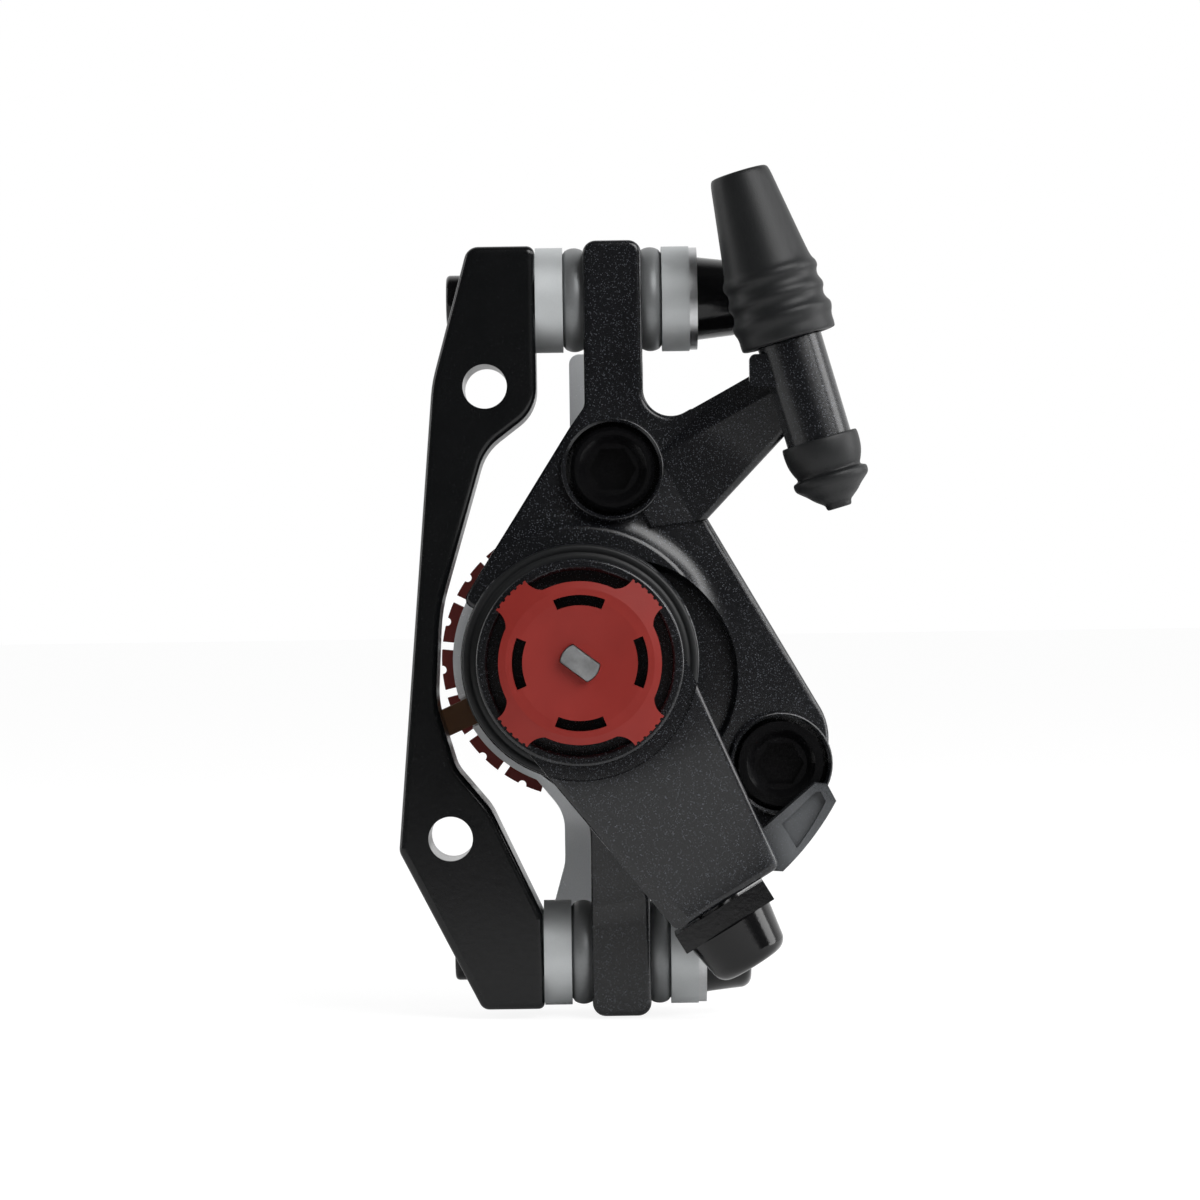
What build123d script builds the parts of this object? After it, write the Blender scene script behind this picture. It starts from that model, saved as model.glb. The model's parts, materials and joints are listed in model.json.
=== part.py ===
from build123d import *
import math
import os

# A cable pulled bicycle disc brake caliper on its adapter bracket, in millimetres.
# X runs from the bracket to the cable stop, Z is up, and Y runs from the outboard side, where
# the arm is, to the inboard side, where the wheel turns. The origin lies midway between the
# bracket's two frame holes, on the flat outboard face that meets the bike's tab.

os.makedirs("parts", exist_ok=True)

# Standards that the caliper follows
frame_hole_spacing = 51.0
frame_hole_tilt = 5.1
post_spacing = 74.0
post_middle_z = -1.7
post_axis_y = 6.0
bolt_radius = 3.0
tapped_hole_radius = 2.5
bolt_clearance = 0.6
rotor_radius = 80.0
rotor_thickness = 1.8
rotor_middle_y = 20.0
rotor_reach = 70.0
rotor_clearance = 1.5
rotor_angle = 208.9
pad_angle = 204.2
overrun = 1.0
face_gap = 0.1
running_gap = 0.05
side_gap = 0.3
full_turn = 360.0
hex_sides = 6
shank_rounding = 0.5

# Adapter bracket
bracket_face_x = 8.05
bracket_depth = 12.0
bracket_width = 15.85
bracket_edge = 0.8
bracket_corner_shares = [
    (0.000, 0.579, 0.057),
    (0.000, 0.331, 0.315),
    (-0.375, 0.270, 0.379),
    (-0.708, 0.028, 1.262),
    (-0.742, -0.114, 0.631),
    (-0.604, -0.213, 0.252),
    (-0.363, -0.275, 0.379),
    (0.000, -0.440, 0.095),
    (0.000, -0.581, 0.044),
    (-0.438, -0.581, 0.076),
    (-1.018, -0.339, 0.095),
    (-0.741, 0.372, 0.946),
    (-0.476, 0.579, 0.101),
]

# Washers and mount bolts
cup_rim = 3.1
cup_radius = 5.95
ball_radius = 5.9
ball_edge = 2.0
seat_groove = 0.3
seat_sphere_radius = 9.0
seat_gap = 0.04
flat_washer_thickness = 0.9
flat_washer_radius = 5.8
mount_bolt_length = 28.4
mount_head_radius = 4.7
mount_head_tip_radius = 4.1
mount_head_height = 5.1
mount_head_rounding = 1.3
hex_key_five = 5.0
hex_key_depth = 3.0

# Housing ears, one at each post
ear_thickness = 6.6
ear_front_y = -1.0
ear_slot_width = 6.8
ear_slot_length = 10.0

# Actuator axis and the stack along it
hub_x = 12.6
hub_z = -5.68
hub_radius = 13.4
hub_front_y = -2.2
spring_well_depth = 2.8
spring_well_radius = 9.4
spring_guide_radius = 5.6
stem_bore_radius = 4.6
cavity_front_y = 2.4
cavity_radius = 9.8
slot_width = 4.6
pad_thickness = 2.2
pad_air_gap = 0.5
pad_radius = 8.8
pad_notch_width = 2.9
plate_thickness = 1.8
plate_radius = 9.6
tab_width_share = 0.32
tab_reach_share = 1.81
foot_thickness = 1.6
foot_sleeve_sink = 0.4
foot_radius = 7.4
foot_sleeve_radius = 4.2
foot_sleeve_flat = 3.7
foot_sleeve_length = 2.5
pocket_gap = 0.2

# Outer housing
housing_width = 27.16
frame_back_y = 13.0
frame_edge = 0.6
front_slope_limit = 0.9
dish_rim_radius = 23.5
dish_rim_sink = 0.2
dish_rim_rounding = 6.0
dish_valley_radius = 15.8
dish_valley_y = -0.1
dish_valley_rounding = 3.0
crescent_shift_x = 4.5
crescent_shift_z = -1.85
crescent_radius = 13.4
crescent_depth = 2.6
crescent_taper = 15.0
boss_radius = 5.8
boss_front_y = -1.6
boss_edge = 0.25
body_bolt_shares = [
    (0.113, 0.2377),
    (0.791, -0.2123),
]
branch_front_y = -7.0
branch_root_y = -1.0
branch_back_y = 6.0
branch_run_in = 0.3
branch_bevel = 2.6
branch_edge = 0.7
hub_edge = 0.4
key_width = 3.2
key_reach = 1.2
frame_corner_shares = [
    (0.000, 0.585, 0.055),
    (0.243, 0.585, 0.055),
    (0.243, 0.288, 0.115),
    (0.460, 0.332, 0.020),
    (0.502, 0.161, 0.020),
    (0.847, -0.058, 0.368),
    (0.992, -0.150, 0.250),
    (0.983, -0.278, 0.160),
    (0.741, -0.309, 0.147),
    (0.243, -0.342, 0.092),
    (0.243, -0.592, 0.055),
    (0.000, -0.592, 0.055),
    (0.000, -0.281, 0.221),
    (-0.219, -0.220, 0.060),
    (-0.465, 0.028, 0.040),
    (-0.519, 0.038, 0.040),
    (-0.064, 0.301, 0.055),
    (0.000, 0.334, 0.055),
]
base_corner_shares = [
    (0.000, 0.334, 0.030),
    (0.243, 0.334, 0.055),
    (0.517, 0.280, 0.120),
    (0.502, 0.161, 0.110),
    (0.847, -0.058, 0.368),
    (0.992, -0.150, 0.250),
    (0.983, -0.278, 0.160),
    (0.741, -0.309, 0.147),
    (0.243, -0.342, 0.050),
    (0.243, -0.403, 0.050),
    (0.000, -0.403, 0.050),
    (0.000, -0.281, 0.221),
    (-0.219, -0.220, 0.000),
    (-0.465, 0.028, 0.000),
    (-0.519, 0.038, 0.011),
    (-0.064, 0.301, 0.030),
]
branch_corner_shares = [
    (0.180, 0.210),
    (0.243, 0.287),
    (0.690, 0.376),
    (0.850, 0.400),
    (0.908, 0.316),
    (0.502, 0.160),
    (0.270, 0.150),
]

# Inner housing
inner_back_y = 30.5
inner_edge = 1.2
inner_ring_radius = 15.0
inner_boss_radius = 10.4
inner_boss_back_y = 33.4
inner_corner_shares = [
    (-0.066, 0.428, 0.044),
    (0.252, 0.428, 0.044),
    (0.252, 0.334, 0.110),
    (0.517, 0.285, 0.120),
    (0.506, 0.164, 0.110),
    (0.855, -0.058, 0.368),
    (1.003, -0.150, 0.250),
    (0.994, -0.281, 0.160),
    (0.748, -0.315, 0.147),
    (0.252, -0.347, 0.092),
    (0.252, -0.484, 0.055),
    (-0.186, -0.472, 0.055),
    (-0.112, -0.376, 0.221),
    (-0.112, -0.296, 0.184),
    (-0.230, -0.243, 0.000),
    (-0.465, 0.028, 0.000),
    (-0.519, 0.038, 0.011),
    (-0.066, 0.300, 0.055),
]

# Body bolts
body_head_radius = 4.75
body_head_height = 5.2
body_head_sink = 0.4
body_recess_radius = 5.3
recess_edge = 0.3
body_bolt_reach = 28.6
body_head_dish = 0.9
body_dish_taper = 45.0
hex_key_t25 = 4.6

# Cable stop: axis, sleeve, barrel and boots, measured down the axis from the sleeve's mouth
stop_place_shares = (0.8435, 0.4239)
stop_y = -6.0
stop_tilt = 16.0
sleeve_radius = 3.65
sleeve_length = 13.2
barrel_radius = 2.45
barrel_length = 9.0
barrel_head_radius = 3.5
barrel_head_length = 12.0
barrel_flutes = 12
barrel_flute_radius = 0.45
socket_radius = 2.6
socket_depth = 9.5
cable_hole_radius = 1.0
boot_length = 19.6
boot_wall_gap = 0.3
boot_top_radius = 3.4
boot_neck_radius = 4.85
boot_ring_radius = 5.45
boot_valley_radius = 5.0
boot_skirt_radius = 5.3
boot_ring_pitch = 2.35
boot_ring_half = 0.75
boot_rings = 3
nipple_cup_top = 11.4
nipple_cup_length = 2.2
nipple_cup_radius = 4.3
nipple_neck_radius = 3.6
nipple_neck_length = 1.7
nipple_ridge_radius = 4.25
nipple_ridge_length = 1.2
nipple_dome_length = 1.9
nipple_tip_radius = 1.4
nipple_shoulder_radius = 2.8
nipple_bore_radius = 0.5
nipple_length = 7.9
stop_lug_width = 5.0
stop_lug_height = 3.6
stop_lug_reach = 2.2
stop_lug_rounding = 0.7
stop_lug_x = 34.3
stop_lug_z = 26.4

# Actuator arm
arm_angle = 31.3
arm_front_y = -10.4
arm_back_y = -4.0
arm_end_back_y = -2.6
arm_length = 30.8
arm_hub_radius = 11.5
arm_root_half = 10.9
arm_end_half = 6.75
arm_end_start = 19.0
arm_edge = 0.7
arm_corner = 1.0
arm_face_step = 0.2
arm_rim_rounding = 0.35
arm_bevel_start = 3.0
arm_bevel_width = 2.5
arm_bevel_depth = 1.3
arm_groove_radius = 13.1
arm_groove_depth = 0.5
arm_cup_radius = 10.25
arm_cup_floor_y = -8.0
arm_web_back_y = -6.2
arm_hollow_radius = 9.9
arm_stem_radius = 4.0
arm_stem_flat = 3.3
guide_overhang = 1.4
guide_front_y = -8.6
guide_back_y = -3.4
guide_groove_radius = 1.0
guide_web_depth = 0.9
guide_rim = 1.1
guide_corner_shares = [
    (0.790, 0.160),
    (0.817, 0.233),
    (0.780, 0.463),
    (0.807, 0.497),
]
guide_rim_shares = [
    (0.870, 0.493),
    (0.930, 0.368),
    (0.978, 0.209),
]
guide_web_corner_shares = [
    (0.838, 0.292),
    (0.806, 0.448),
    (0.815, 0.465),
]
guide_web_rim_shares = [
    (0.852, 0.462),
    (0.902, 0.371),
    (0.936, 0.292),
]
plate_gap = 0.3
cable_plate_thickness = 2.4
cable_plate_half = 5.7
cable_plate_offset = -1.4
cable_plate_lip = 1.3
cable_plate_depth = 7.4
pinch_bolt_radius = 2.5
pinch_head_radius = 5.1
pinch_head_tip_radius = 4.2
pinch_head_height = 5.2
pinch_head_rounding = 1.6
pinch_bolt_length = 11.0
hex_key_pinch = 5.0

# Cams, balls, cage, spring and seal
seal_thickness = 1.6
seal_inner_radius = 9.95
seal_outer_radius = 13.2
spring_wire_radius = 0.6
spring_coil_radius = 7.5
spring_turns = 3.5
spring_pitch = 1.5
thrust_washer_thickness = 0.9
drive_cam_thickness = 3.65
cam_radius = 9.5
cam_gap = 2.0
ramp_ball_radius = 1.985
ramp_ball_circle = 7.05
ramp_ball_count = 3
ramp_steps = 4
first_ball_angle = 90.0
ramp_groove_gap = 0.08
arm_travel = 40.0
cam_travel = 1.2
cage_thickness = 1.2
cage_inner_radius = 3.7
cage_ball_gap = 0.12
driven_cam_thickness = 3.6
nut_across = 11.0
nut_thickness = 1.7
nut_thread_radius = 3.4
screw_radius = 3.0
screw_shank_radius = 2.1
screw_tip_half = 2.15
screw_tip_flat = 1.15
screw_tip_proud = 0.3
screw_tip_angle = -37.0
shank_bore_radius = 2.4
spreader_sheet = 0.4
spreader_rim = 0.6
spreader_strap = 5.0

# Red pad knobs
outer_knob_front_y = -13.0
outer_knob_thickness = 2.3
outer_knob_radius = 9.0
outer_knob_ear_radius = 10.9
outer_knob_root_radius = 8.9
outer_knob_flank_angle = 21.0
outer_knob_bend_radius = 9.55
outer_knob_bend_angle = 14.6
outer_knob_ear_half_angle = 12.0
outer_knob_ears = 4
outer_knob_ear_angle = 45.0
outer_knob_dish_radius = 7.0
outer_knob_dish = 0.5
outer_knob_boss_radius = 3.6
outer_knob_skirt_outer = 8.7
outer_knob_skirt_inner = 7.9
outer_knob_slot_inner = 6.35
outer_knob_slot_outer = 7.5
outer_knob_slot_sweep = 45.0
outer_knob_slope_radius = 8.2
outer_knob_slope = 0.8
outer_knob_serration = 0.2
outer_knob_serrations = 5
inner_knob_front_y = 32.0
inner_knob_thickness = 4.4
inner_knob_radius = 16.6
inner_knob_face = 2.2
inner_knob_pairs = 18
inner_knob_gap_angle = 14.0
inner_knob_gap_width = 0.95
inner_knob_gap_depth = 2.0
inner_knob_notch_radius = 0.5
inner_knob_wall = 2.9
inner_knob_grip_depth = 0.8

# Places that follow from the sizes above
def scaled(shares, size):
    """Points given as shares of a size."""
    return [(along_share * size, across_share * size) for along_share, across_share in shares]


hub_point = Vector(hub_x, arm_front_y, hub_z)
guide_radius = arm_length + guide_overhang
guide_corners = scaled(guide_corner_shares, guide_radius)
guide_rim = scaled(guide_rim_shares, guide_radius)
guide_web_corners = scaled(guide_web_corner_shares, guide_radius)
guide_web_rim = scaled(guide_web_rim_shares, guide_radius)
post_upper_z = post_middle_z + post_spacing / 2
post_lower_z = post_middle_z - post_spacing / 2
post_heights = [post_upper_z, post_lower_z]
ear_left_x = bracket_face_x + cup_rim + seat_groove + ball_edge
ear_right_x = ear_left_x + ear_thickness
ear_middle_x = (ear_left_x + ear_right_x) / 2
washer_end_x = ear_right_x + cup_rim + seat_groove + ball_edge
stop_x = ear_left_x + stop_place_shares[0] * housing_width
stop_z = post_middle_z + stop_place_shares[1] * post_spacing
outer_wall_y = rotor_middle_y - slot_width / 2
inner_wall_y = rotor_middle_y + slot_width / 2
pad_face_offset = rotor_thickness / 2 + pad_air_gap
outer_pad_y = rotor_middle_y - pad_face_offset
outer_plate_y = outer_pad_y - pad_thickness
outer_foot_y = outer_plate_y - plate_thickness
foot_front_y = outer_foot_y - foot_thickness
inner_pad_y = rotor_middle_y + pad_face_offset
inner_plate_y = inner_pad_y + pad_thickness
inner_foot_y = inner_plate_y + plate_thickness
inner_foot_back_y = inner_foot_y + foot_thickness
pocket_floor_y = outer_foot_y - pocket_gap
inner_pocket_floor_y = inner_foot_y + pocket_gap
pocket_radius = plate_radius + side_gap
rotor_x = hub_x + rotor_reach * math.cos(math.radians(rotor_angle))
rotor_z = hub_z + rotor_reach * math.sin(math.radians(rotor_angle))
slot_radius = rotor_radius + rotor_clearance
body_bolts_at = []
for across_share, up_share in body_bolt_shares:
    across = ear_left_x + across_share * housing_width
    body_bolts_at.append((across, post_middle_z + up_share * post_spacing))
hub_axis = Axis((hub_x, 0, hub_z), (0, 1, 0))


def facing(depth):
    """Plane across the caliper at a depth, seen from outboard, with its normal outboard."""
    return Plane(origin=(0, depth, 0), x_dir=(1, 0, 0), z_dir=(0, -1, 0))


def hub_facing(depth, turn=0):
    """The same plane, centred on the actuator axis and turned about it."""
    across = (math.cos(math.radians(turn)), 0, math.sin(math.radians(turn)))
    return Plane(origin=(hub_x, depth, hub_z), x_dir=across, z_dir=(0, -1, 0))


def hub_section():
    """Plane through the actuator axis: radius to the right, inboard up the sheet."""
    return Plane(origin=(hub_x, 0, hub_z), x_dir=(1, 0, 0), z_dir=(0, 0, 1))


def post_section(height):
    """Plane through a mount bolt's axis: X to the right, radius up the sheet."""
    return Plane(origin=(0, post_axis_y, height), x_dir=(1, 0, 0), z_dir=(0, -1, 0))


def stop_section():
    """Plane through the cable stop's axis: radius to the right, distance down it as minus y."""
    tilt = math.radians(stop_tilt)
    return Plane(
        origin=(stop_x, stop_y, stop_z),
        x_dir=(math.cos(tilt), 0, math.sin(tilt)),
        z_dir=(0, -1, 0),
    )


def stop_cross(down):
    """Plane square to the cable stop's axis, a distance down it, with its normal up the axis."""
    tilt = math.radians(stop_tilt)
    centre = (stop_x + down * math.sin(tilt), stop_y, stop_z - down * math.cos(tilt))
    return Plane(origin=centre, x_dir=(0, 1, 0), z_dir=(-math.sin(tilt), 0, math.cos(tilt)))


def stop_axis():
    """The cable stop's axis, pointing up and out of the socket."""
    tilt = math.radians(stop_tilt)
    return Axis((stop_x, stop_y, stop_z), (-math.sin(tilt), 0, math.cos(tilt)))


def arm_facing(depth):
    """Plane across the arm at a depth: x from the hub along the arm, y towards the guide."""
    turn = math.radians(arm_angle)
    return Plane(
        origin=(hub_x, depth, hub_z),
        x_dir=(math.sin(turn), 0, -math.cos(turn)),
        z_dir=(0, -1, 0),
    )


def outline(corner_shares, left_x, width):
    """Rounded closed outline from corners given as shares of a width and the post spacing."""
    corners = []
    radii = []
    for across_share, up_share, round_share in corner_shares:
        corners.append((left_x + across_share * width, post_middle_z + up_share * post_spacing))
        radii.append(round_share * width)
    FilletPolyline(*corners, radius=radii, close=True)


# Adapter bracket: a flat plate with two frame holes and a tapped post face at each end
def frame_hole_centres():
    """The two frame holes, either side of the origin on a line that leans by the tilt."""
    half = frame_hole_spacing / 2
    lean = math.radians(frame_hole_tilt)
    upper = (half * math.sin(lean), half * math.cos(lean))
    return [upper, (-upper[0], -upper[1])]


with BuildPart() as adapter_bracket:
    with BuildSketch(facing(bracket_depth)):
        with BuildLine():
            outline(bracket_corner_shares, bracket_face_x, bracket_width)
        make_face()
    extrude(amount=bracket_depth)
    fillet(adapter_bracket.faces().sort_by(Axis.Y)[0].edges(), bracket_edge)
    fillet(adapter_bracket.faces().sort_by(Axis.Y)[-1].edges(), bracket_edge)
    with Locations(facing(0)):
        with Locations(*frame_hole_centres()):
            Hole(tapped_hole_radius)
    for height in post_heights:
        across = Plane(origin=(bracket_face_x, post_axis_y, height), z_dir=(1, 0, 0))
        with BuildSketch(across):
            Circle(bolt_radius + running_gap)
        extrude(amount=-bracket_width, mode=Mode.SUBTRACT)
adapter_bracket.part.label = "adapter_bracket"


# Cup and ball washers: a stack each side of each ear, seated on a common sphere
def sphere_x(centre_x, radius, height):
    """Place of a seat sphere's surface at a height above the bolt's axis."""
    return centre_x - math.sqrt(radius**2 - height**2)


bolt_hole_radius = bolt_radius + bolt_clearance
ball_rim_x = ear_left_x - ball_edge
ball_seat_radius = ball_radius - seat_groove
seat_centre_x = ball_rim_x + math.sqrt(seat_sphere_radius**2 - ball_seat_radius**2)
cup_sphere = seat_sphere_radius + seat_gap
cup_face_x = bracket_face_x + cup_rim
cup_seat_radius = math.sqrt(cup_sphere**2 - (seat_centre_x - cup_face_x) ** 2)
cup_middle_radius = (cup_seat_radius + bolt_hole_radius) / 2
ball_middle_radius = (ball_seat_radius + bolt_hole_radius) / 2

with BuildPart() as cup_washers:
    for height in post_heights:
        with BuildSketch(post_section(height)):
            with BuildLine():
                back_low = (bracket_face_x, bolt_hole_radius)
                rim_low = (bracket_face_x, cup_radius)
                rim_high = (cup_face_x, cup_radius)
                seat_rim = (cup_face_x, cup_seat_radius)
                seat_mid = (sphere_x(seat_centre_x, cup_sphere, cup_middle_radius), cup_middle_radius)
                seat_hole = (sphere_x(seat_centre_x, cup_sphere, bolt_hole_radius), bolt_hole_radius)
                Polyline(seat_hole, back_low, rim_low, rim_high, seat_rim)
                ThreePointArc(seat_rim, seat_mid, seat_hole)
            make_face()
        revolve(axis=Axis((0, post_axis_y, height), (1, 0, 0)))
    mirror(about=Plane(origin=(ear_middle_x, 0, 0), z_dir=(1, 0, 0)))
cup_washers.part.label = "cup_washers"

with BuildPart() as ball_washers:
    for height in post_heights:
        with BuildSketch(post_section(height)):
            with BuildLine():
                foot_low = (ear_left_x, bolt_hole_radius)
                foot_rim = (ear_left_x, ball_seat_radius)
                crown = (ear_left_x - ball_edge / 2, ball_radius)
                seat_rim = (ball_rim_x, ball_seat_radius)
                seat_mid = (
                    sphere_x(seat_centre_x, seat_sphere_radius, ball_middle_radius),
                    ball_middle_radius,
                )
                seat_hole = (
                    sphere_x(seat_centre_x, seat_sphere_radius, bolt_hole_radius),
                    bolt_hole_radius,
                )
                Polyline(seat_hole, foot_low, foot_rim)
                ThreePointArc(foot_rim, crown, seat_rim)
                ThreePointArc(seat_rim, seat_mid, seat_hole)
            make_face()
        revolve(axis=Axis((0, post_axis_y, height), (1, 0, 0)))
    mirror(about=Plane(origin=(ear_middle_x, 0, 0), z_dir=(1, 0, 0)))
ball_washers.part.label = "ball_washers"

with BuildPart() as flat_washers:
    for height in post_heights:
        across = Plane(origin=(washer_end_x, post_axis_y, height), z_dir=(1, 0, 0))
        with BuildSketch(across):
            Circle(flat_washer_radius)
            Circle(bolt_radius + side_gap, mode=Mode.SUBTRACT)
        extrude(amount=flat_washer_thickness)
flat_washers.part.label = "flat_washers"

# Mount bolts: tapered socket heads, shanks through the ears into the bracket
mount_head_x = washer_end_x + flat_washer_thickness
with BuildPart() as mount_bolts:
    for height in post_heights:
        head_end = mount_head_x + mount_head_height
        with BuildSketch(post_section(height)):
            with BuildLine():
                tip = (mount_head_x - mount_bolt_length, 0)
                FilletPolyline(
                    tip,
                    (tip[0], bolt_radius),
                    (mount_head_x, bolt_radius),
                    (mount_head_x, mount_head_radius),
                    (head_end, mount_head_tip_radius),
                    (head_end, 0),
                    tip,
                    radius=[0, shank_rounding, 0, 0, mount_head_rounding, 0],
                    close=True,
                )
            make_face()
        revolve(axis=Axis((0, post_axis_y, height), (1, 0, 0)))
        with BuildSketch(Plane(origin=(head_end, post_axis_y, height), z_dir=(1, 0, 0))):
            RegularPolygon(hex_key_five / 2, side_count=hex_sides, major_radius=False)
        extrude(amount=-hex_key_depth, mode=Mode.SUBTRACT)
mount_bolts.part.label = "mount_bolts"

# Pads: a round backing plate with a pull tab towards the wheel's centre, and its friction pad
tab_width = plate_radius * tab_width_share
tab_reach = plate_radius * tab_reach_share
strap_reach = plate_radius + side_gap + spreader_sheet


def plate_outline(grow):
    """Backing plate seen along the actuator axis, grown all round for its pocket."""
    Circle(plate_radius + grow)


def tab_outline():
    """Pull tab, along the line from the actuator axis to the wheel's centre."""
    with Locations((tab_reach / 2, 0)):
        Rectangle(tab_reach, tab_width)


def pocket_outline():
    """Pad pocket: round, with a notch for the pull tab and one behind for the spring's strap."""
    Circle(pocket_radius)
    with Locations((tab_reach / 2, 0)):
        Rectangle(tab_reach, tab_width + side_gap * 2)
    notch_reach = strap_reach + side_gap
    with Locations((-notch_reach / 2, 0)):
        Rectangle(notch_reach, spreader_strap + side_gap * 2)


with BuildPart() as outer_backing_plate:
    with BuildSketch(hub_facing(outer_plate_y, pad_angle)):
        plate_outline(0)
        tab_outline()
    extrude(amount=plate_thickness)
outer_backing_plate.part.label = "outer_backing_plate"

with BuildPart() as outer_friction_pad:
    with BuildSketch(hub_facing(outer_pad_y, pad_angle)):
        Circle(pad_radius)
        with Locations((-pad_radius, 0), (pad_radius, 0)):
            Rectangle(pad_notch_width, pad_radius * 2, mode=Mode.SUBTRACT)
    extrude(amount=pad_thickness)
outer_friction_pad.part.label = "outer_friction_pad"

with BuildPart() as inner_backing_plate:
    with BuildSketch(hub_facing(inner_foot_y, pad_angle)):
        plate_outline(0)
        tab_outline()
    extrude(amount=plate_thickness)
inner_backing_plate.part.label = "inner_backing_plate"

with BuildPart() as inner_friction_pad:
    with BuildSketch(hub_facing(inner_plate_y, pad_angle)):
        Circle(pad_radius)
        with Locations((-pad_radius, 0), (pad_radius, 0)):
            Rectangle(pad_notch_width, pad_radius * 2, mode=Mode.SUBTRACT)
    extrude(amount=pad_thickness)
inner_friction_pad.part.label = "inner_friction_pad"

# Spreader spring: two rings round the friction pads, joined by a strap beyond the rotor's edge
spreader_outer = pad_radius + side_gap + spreader_rim
with BuildPart() as pad_spring:
    for ring_y in (outer_plate_y + face_gap + spreader_sheet, inner_plate_y - face_gap):
        with BuildSketch(hub_facing(ring_y, pad_angle)):
            Circle(spreader_outer)
            with Locations((-strap_reach / 2, 0)):
                Rectangle(strap_reach, spreader_strap)
            Circle(pad_radius + side_gap, mode=Mode.SUBTRACT)
        extrude(amount=spreader_sheet)
    strap_y = inner_plate_y - face_gap
    with BuildSketch(hub_facing(strap_y, pad_angle)):
        with Locations((-strap_reach + spreader_sheet / 2, 0)):
            Rectangle(spreader_sheet, spreader_strap)
    extrude(amount=strap_y - outer_plate_y - face_gap)
pad_spring.part.label = "pad_spring"

# Feet: each presses a backing plate. The flats on its sleeve keep it from turning, so the
# adjusting screw feeds it along
def sleeve_outline(grow):
    """A foot's sleeve, round with two flats, grown all round for its guide."""
    Circle(foot_sleeve_radius + grow)
    Rectangle(
        (foot_sleeve_radius + grow) * 2,
        (foot_sleeve_flat + grow) * 2,
        mode=Mode.INTERSECT,
    )


with BuildPart() as outer_foot:
    with BuildSketch(hub_facing(outer_foot_y)):
        Circle(foot_radius)
    extrude(amount=foot_thickness)
    with BuildSketch(hub_facing(foot_front_y)):
        sleeve_outline(0)
    extrude(amount=foot_sleeve_length)
    with BuildSketch(hub_facing(foot_front_y + foot_sleeve_sink)):
        Circle(screw_radius + running_gap)
    extrude(amount=foot_sleeve_length + foot_thickness, mode=Mode.SUBTRACT)
outer_foot.part.label = "outer_foot"

with BuildPart() as inner_foot:
    with BuildSketch(hub_facing(inner_foot_back_y)):
        Circle(foot_radius)
    extrude(amount=foot_thickness)
    with BuildSketch(hub_facing(inner_foot_back_y + foot_sleeve_length)):
        sleeve_outline(0)
    extrude(amount=foot_sleeve_length)
    with BuildSketch(hub_facing(inner_foot_back_y + foot_sleeve_length)):
        Circle(screw_radius + running_gap)
    extrude(amount=foot_sleeve_length + foot_sleeve_sink, mode=Mode.SUBTRACT)
inner_foot.part.label = "inner_foot"

# Ball and ramp: both cams carry three helical grooves of one lead, so the balls lift the
# driven cam as the arm turns, and each ball goes half as far as the cams do
drive_cam_y = cavity_front_y + thrust_washer_thickness + running_gap
drive_face_y = drive_cam_y + drive_cam_thickness
ball_y = drive_face_y + cam_gap / 2
driven_face_y = drive_face_y + cam_gap
driven_back_y = driven_face_y + driven_cam_thickness
ramp_lead = cam_travel * full_turn / arm_travel
ramp_span = cam_travel / 2
groove_radius = ramp_ball_radius + ramp_groove_gap
stem_radius = stem_bore_radius - running_gap
foot_gap = foot_front_y - driven_back_y


def ramp_groove(start_y, start_angle, turn, mode=Mode.SUBTRACT):
    """Helical groove cut on the ball circle, climbing with the ball, with round ends."""
    steps = ramp_steps
    for step in range(steps + 1):
        along = step / steps
        angle = math.radians(start_angle + along * turn)
        centre = (
            hub_x + ramp_ball_circle * math.cos(angle),
            start_y + along * math.copysign(ramp_span, turn),
            hub_z + ramp_ball_circle * math.sin(angle),
        )
        with Locations(centre):
            Sphere(groove_radius, mode=mode)


def ball_angle(index):
    """Angle of a ball on its circle at rest, seen from outboard."""
    return first_ball_angle + index * full_turn / ramp_ball_count


with BuildPart() as drive_cam:
    with BuildSketch(hub_facing(drive_face_y)):
        Circle(cam_radius)
    extrude(amount=drive_cam_thickness)
    with BuildSketch(hub_facing(drive_cam_y)):
        Circle(stem_radius)
    extrude(amount=drive_cam_y - arm_web_back_y)
    with BuildSketch(hub_facing(arm_web_back_y)):
        Circle(arm_stem_radius)
        Rectangle(arm_stem_radius * 2, arm_stem_flat * 2, mode=Mode.INTERSECT)
    extrude(amount=arm_web_back_y - arm_cup_floor_y)
    with BuildSketch(hub_facing(arm_cup_floor_y)):
        Circle(nut_thread_radius - running_gap / 2)
    extrude(amount=nut_thickness)
    with BuildSketch(hub_facing(drive_face_y)):
        Circle(shank_bore_radius)
    extrude(amount=drive_face_y - arm_cup_floor_y + nut_thickness, mode=Mode.SUBTRACT)
    for index in range(ramp_ball_count):
        ramp_groove(ball_y, ball_angle(index), -arm_travel / 2)
drive_cam.part.label = "drive_cam"

with BuildPart() as driven_cam:
    with BuildSketch(hub_facing(driven_back_y)):
        Circle(cam_radius)
        Rectangle((cavity_radius + key_reach - side_gap) * 2, key_width - side_gap)
    extrude(amount=driven_cam_thickness)
    with BuildSketch(hub_facing(driven_back_y)):
        sleeve_outline(running_gap)
    extrude(amount=foot_sleeve_length + face_gap - foot_gap, mode=Mode.SUBTRACT)
    with BuildSketch(hub_facing(driven_back_y)):
        Circle(screw_radius + running_gap)
    extrude(amount=driven_cam_thickness, mode=Mode.SUBTRACT)
    for index in range(ramp_ball_count):
        ramp_groove(ball_y, ball_angle(index), arm_travel / 2)
driven_cam.part.label = "driven_cam"

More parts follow.
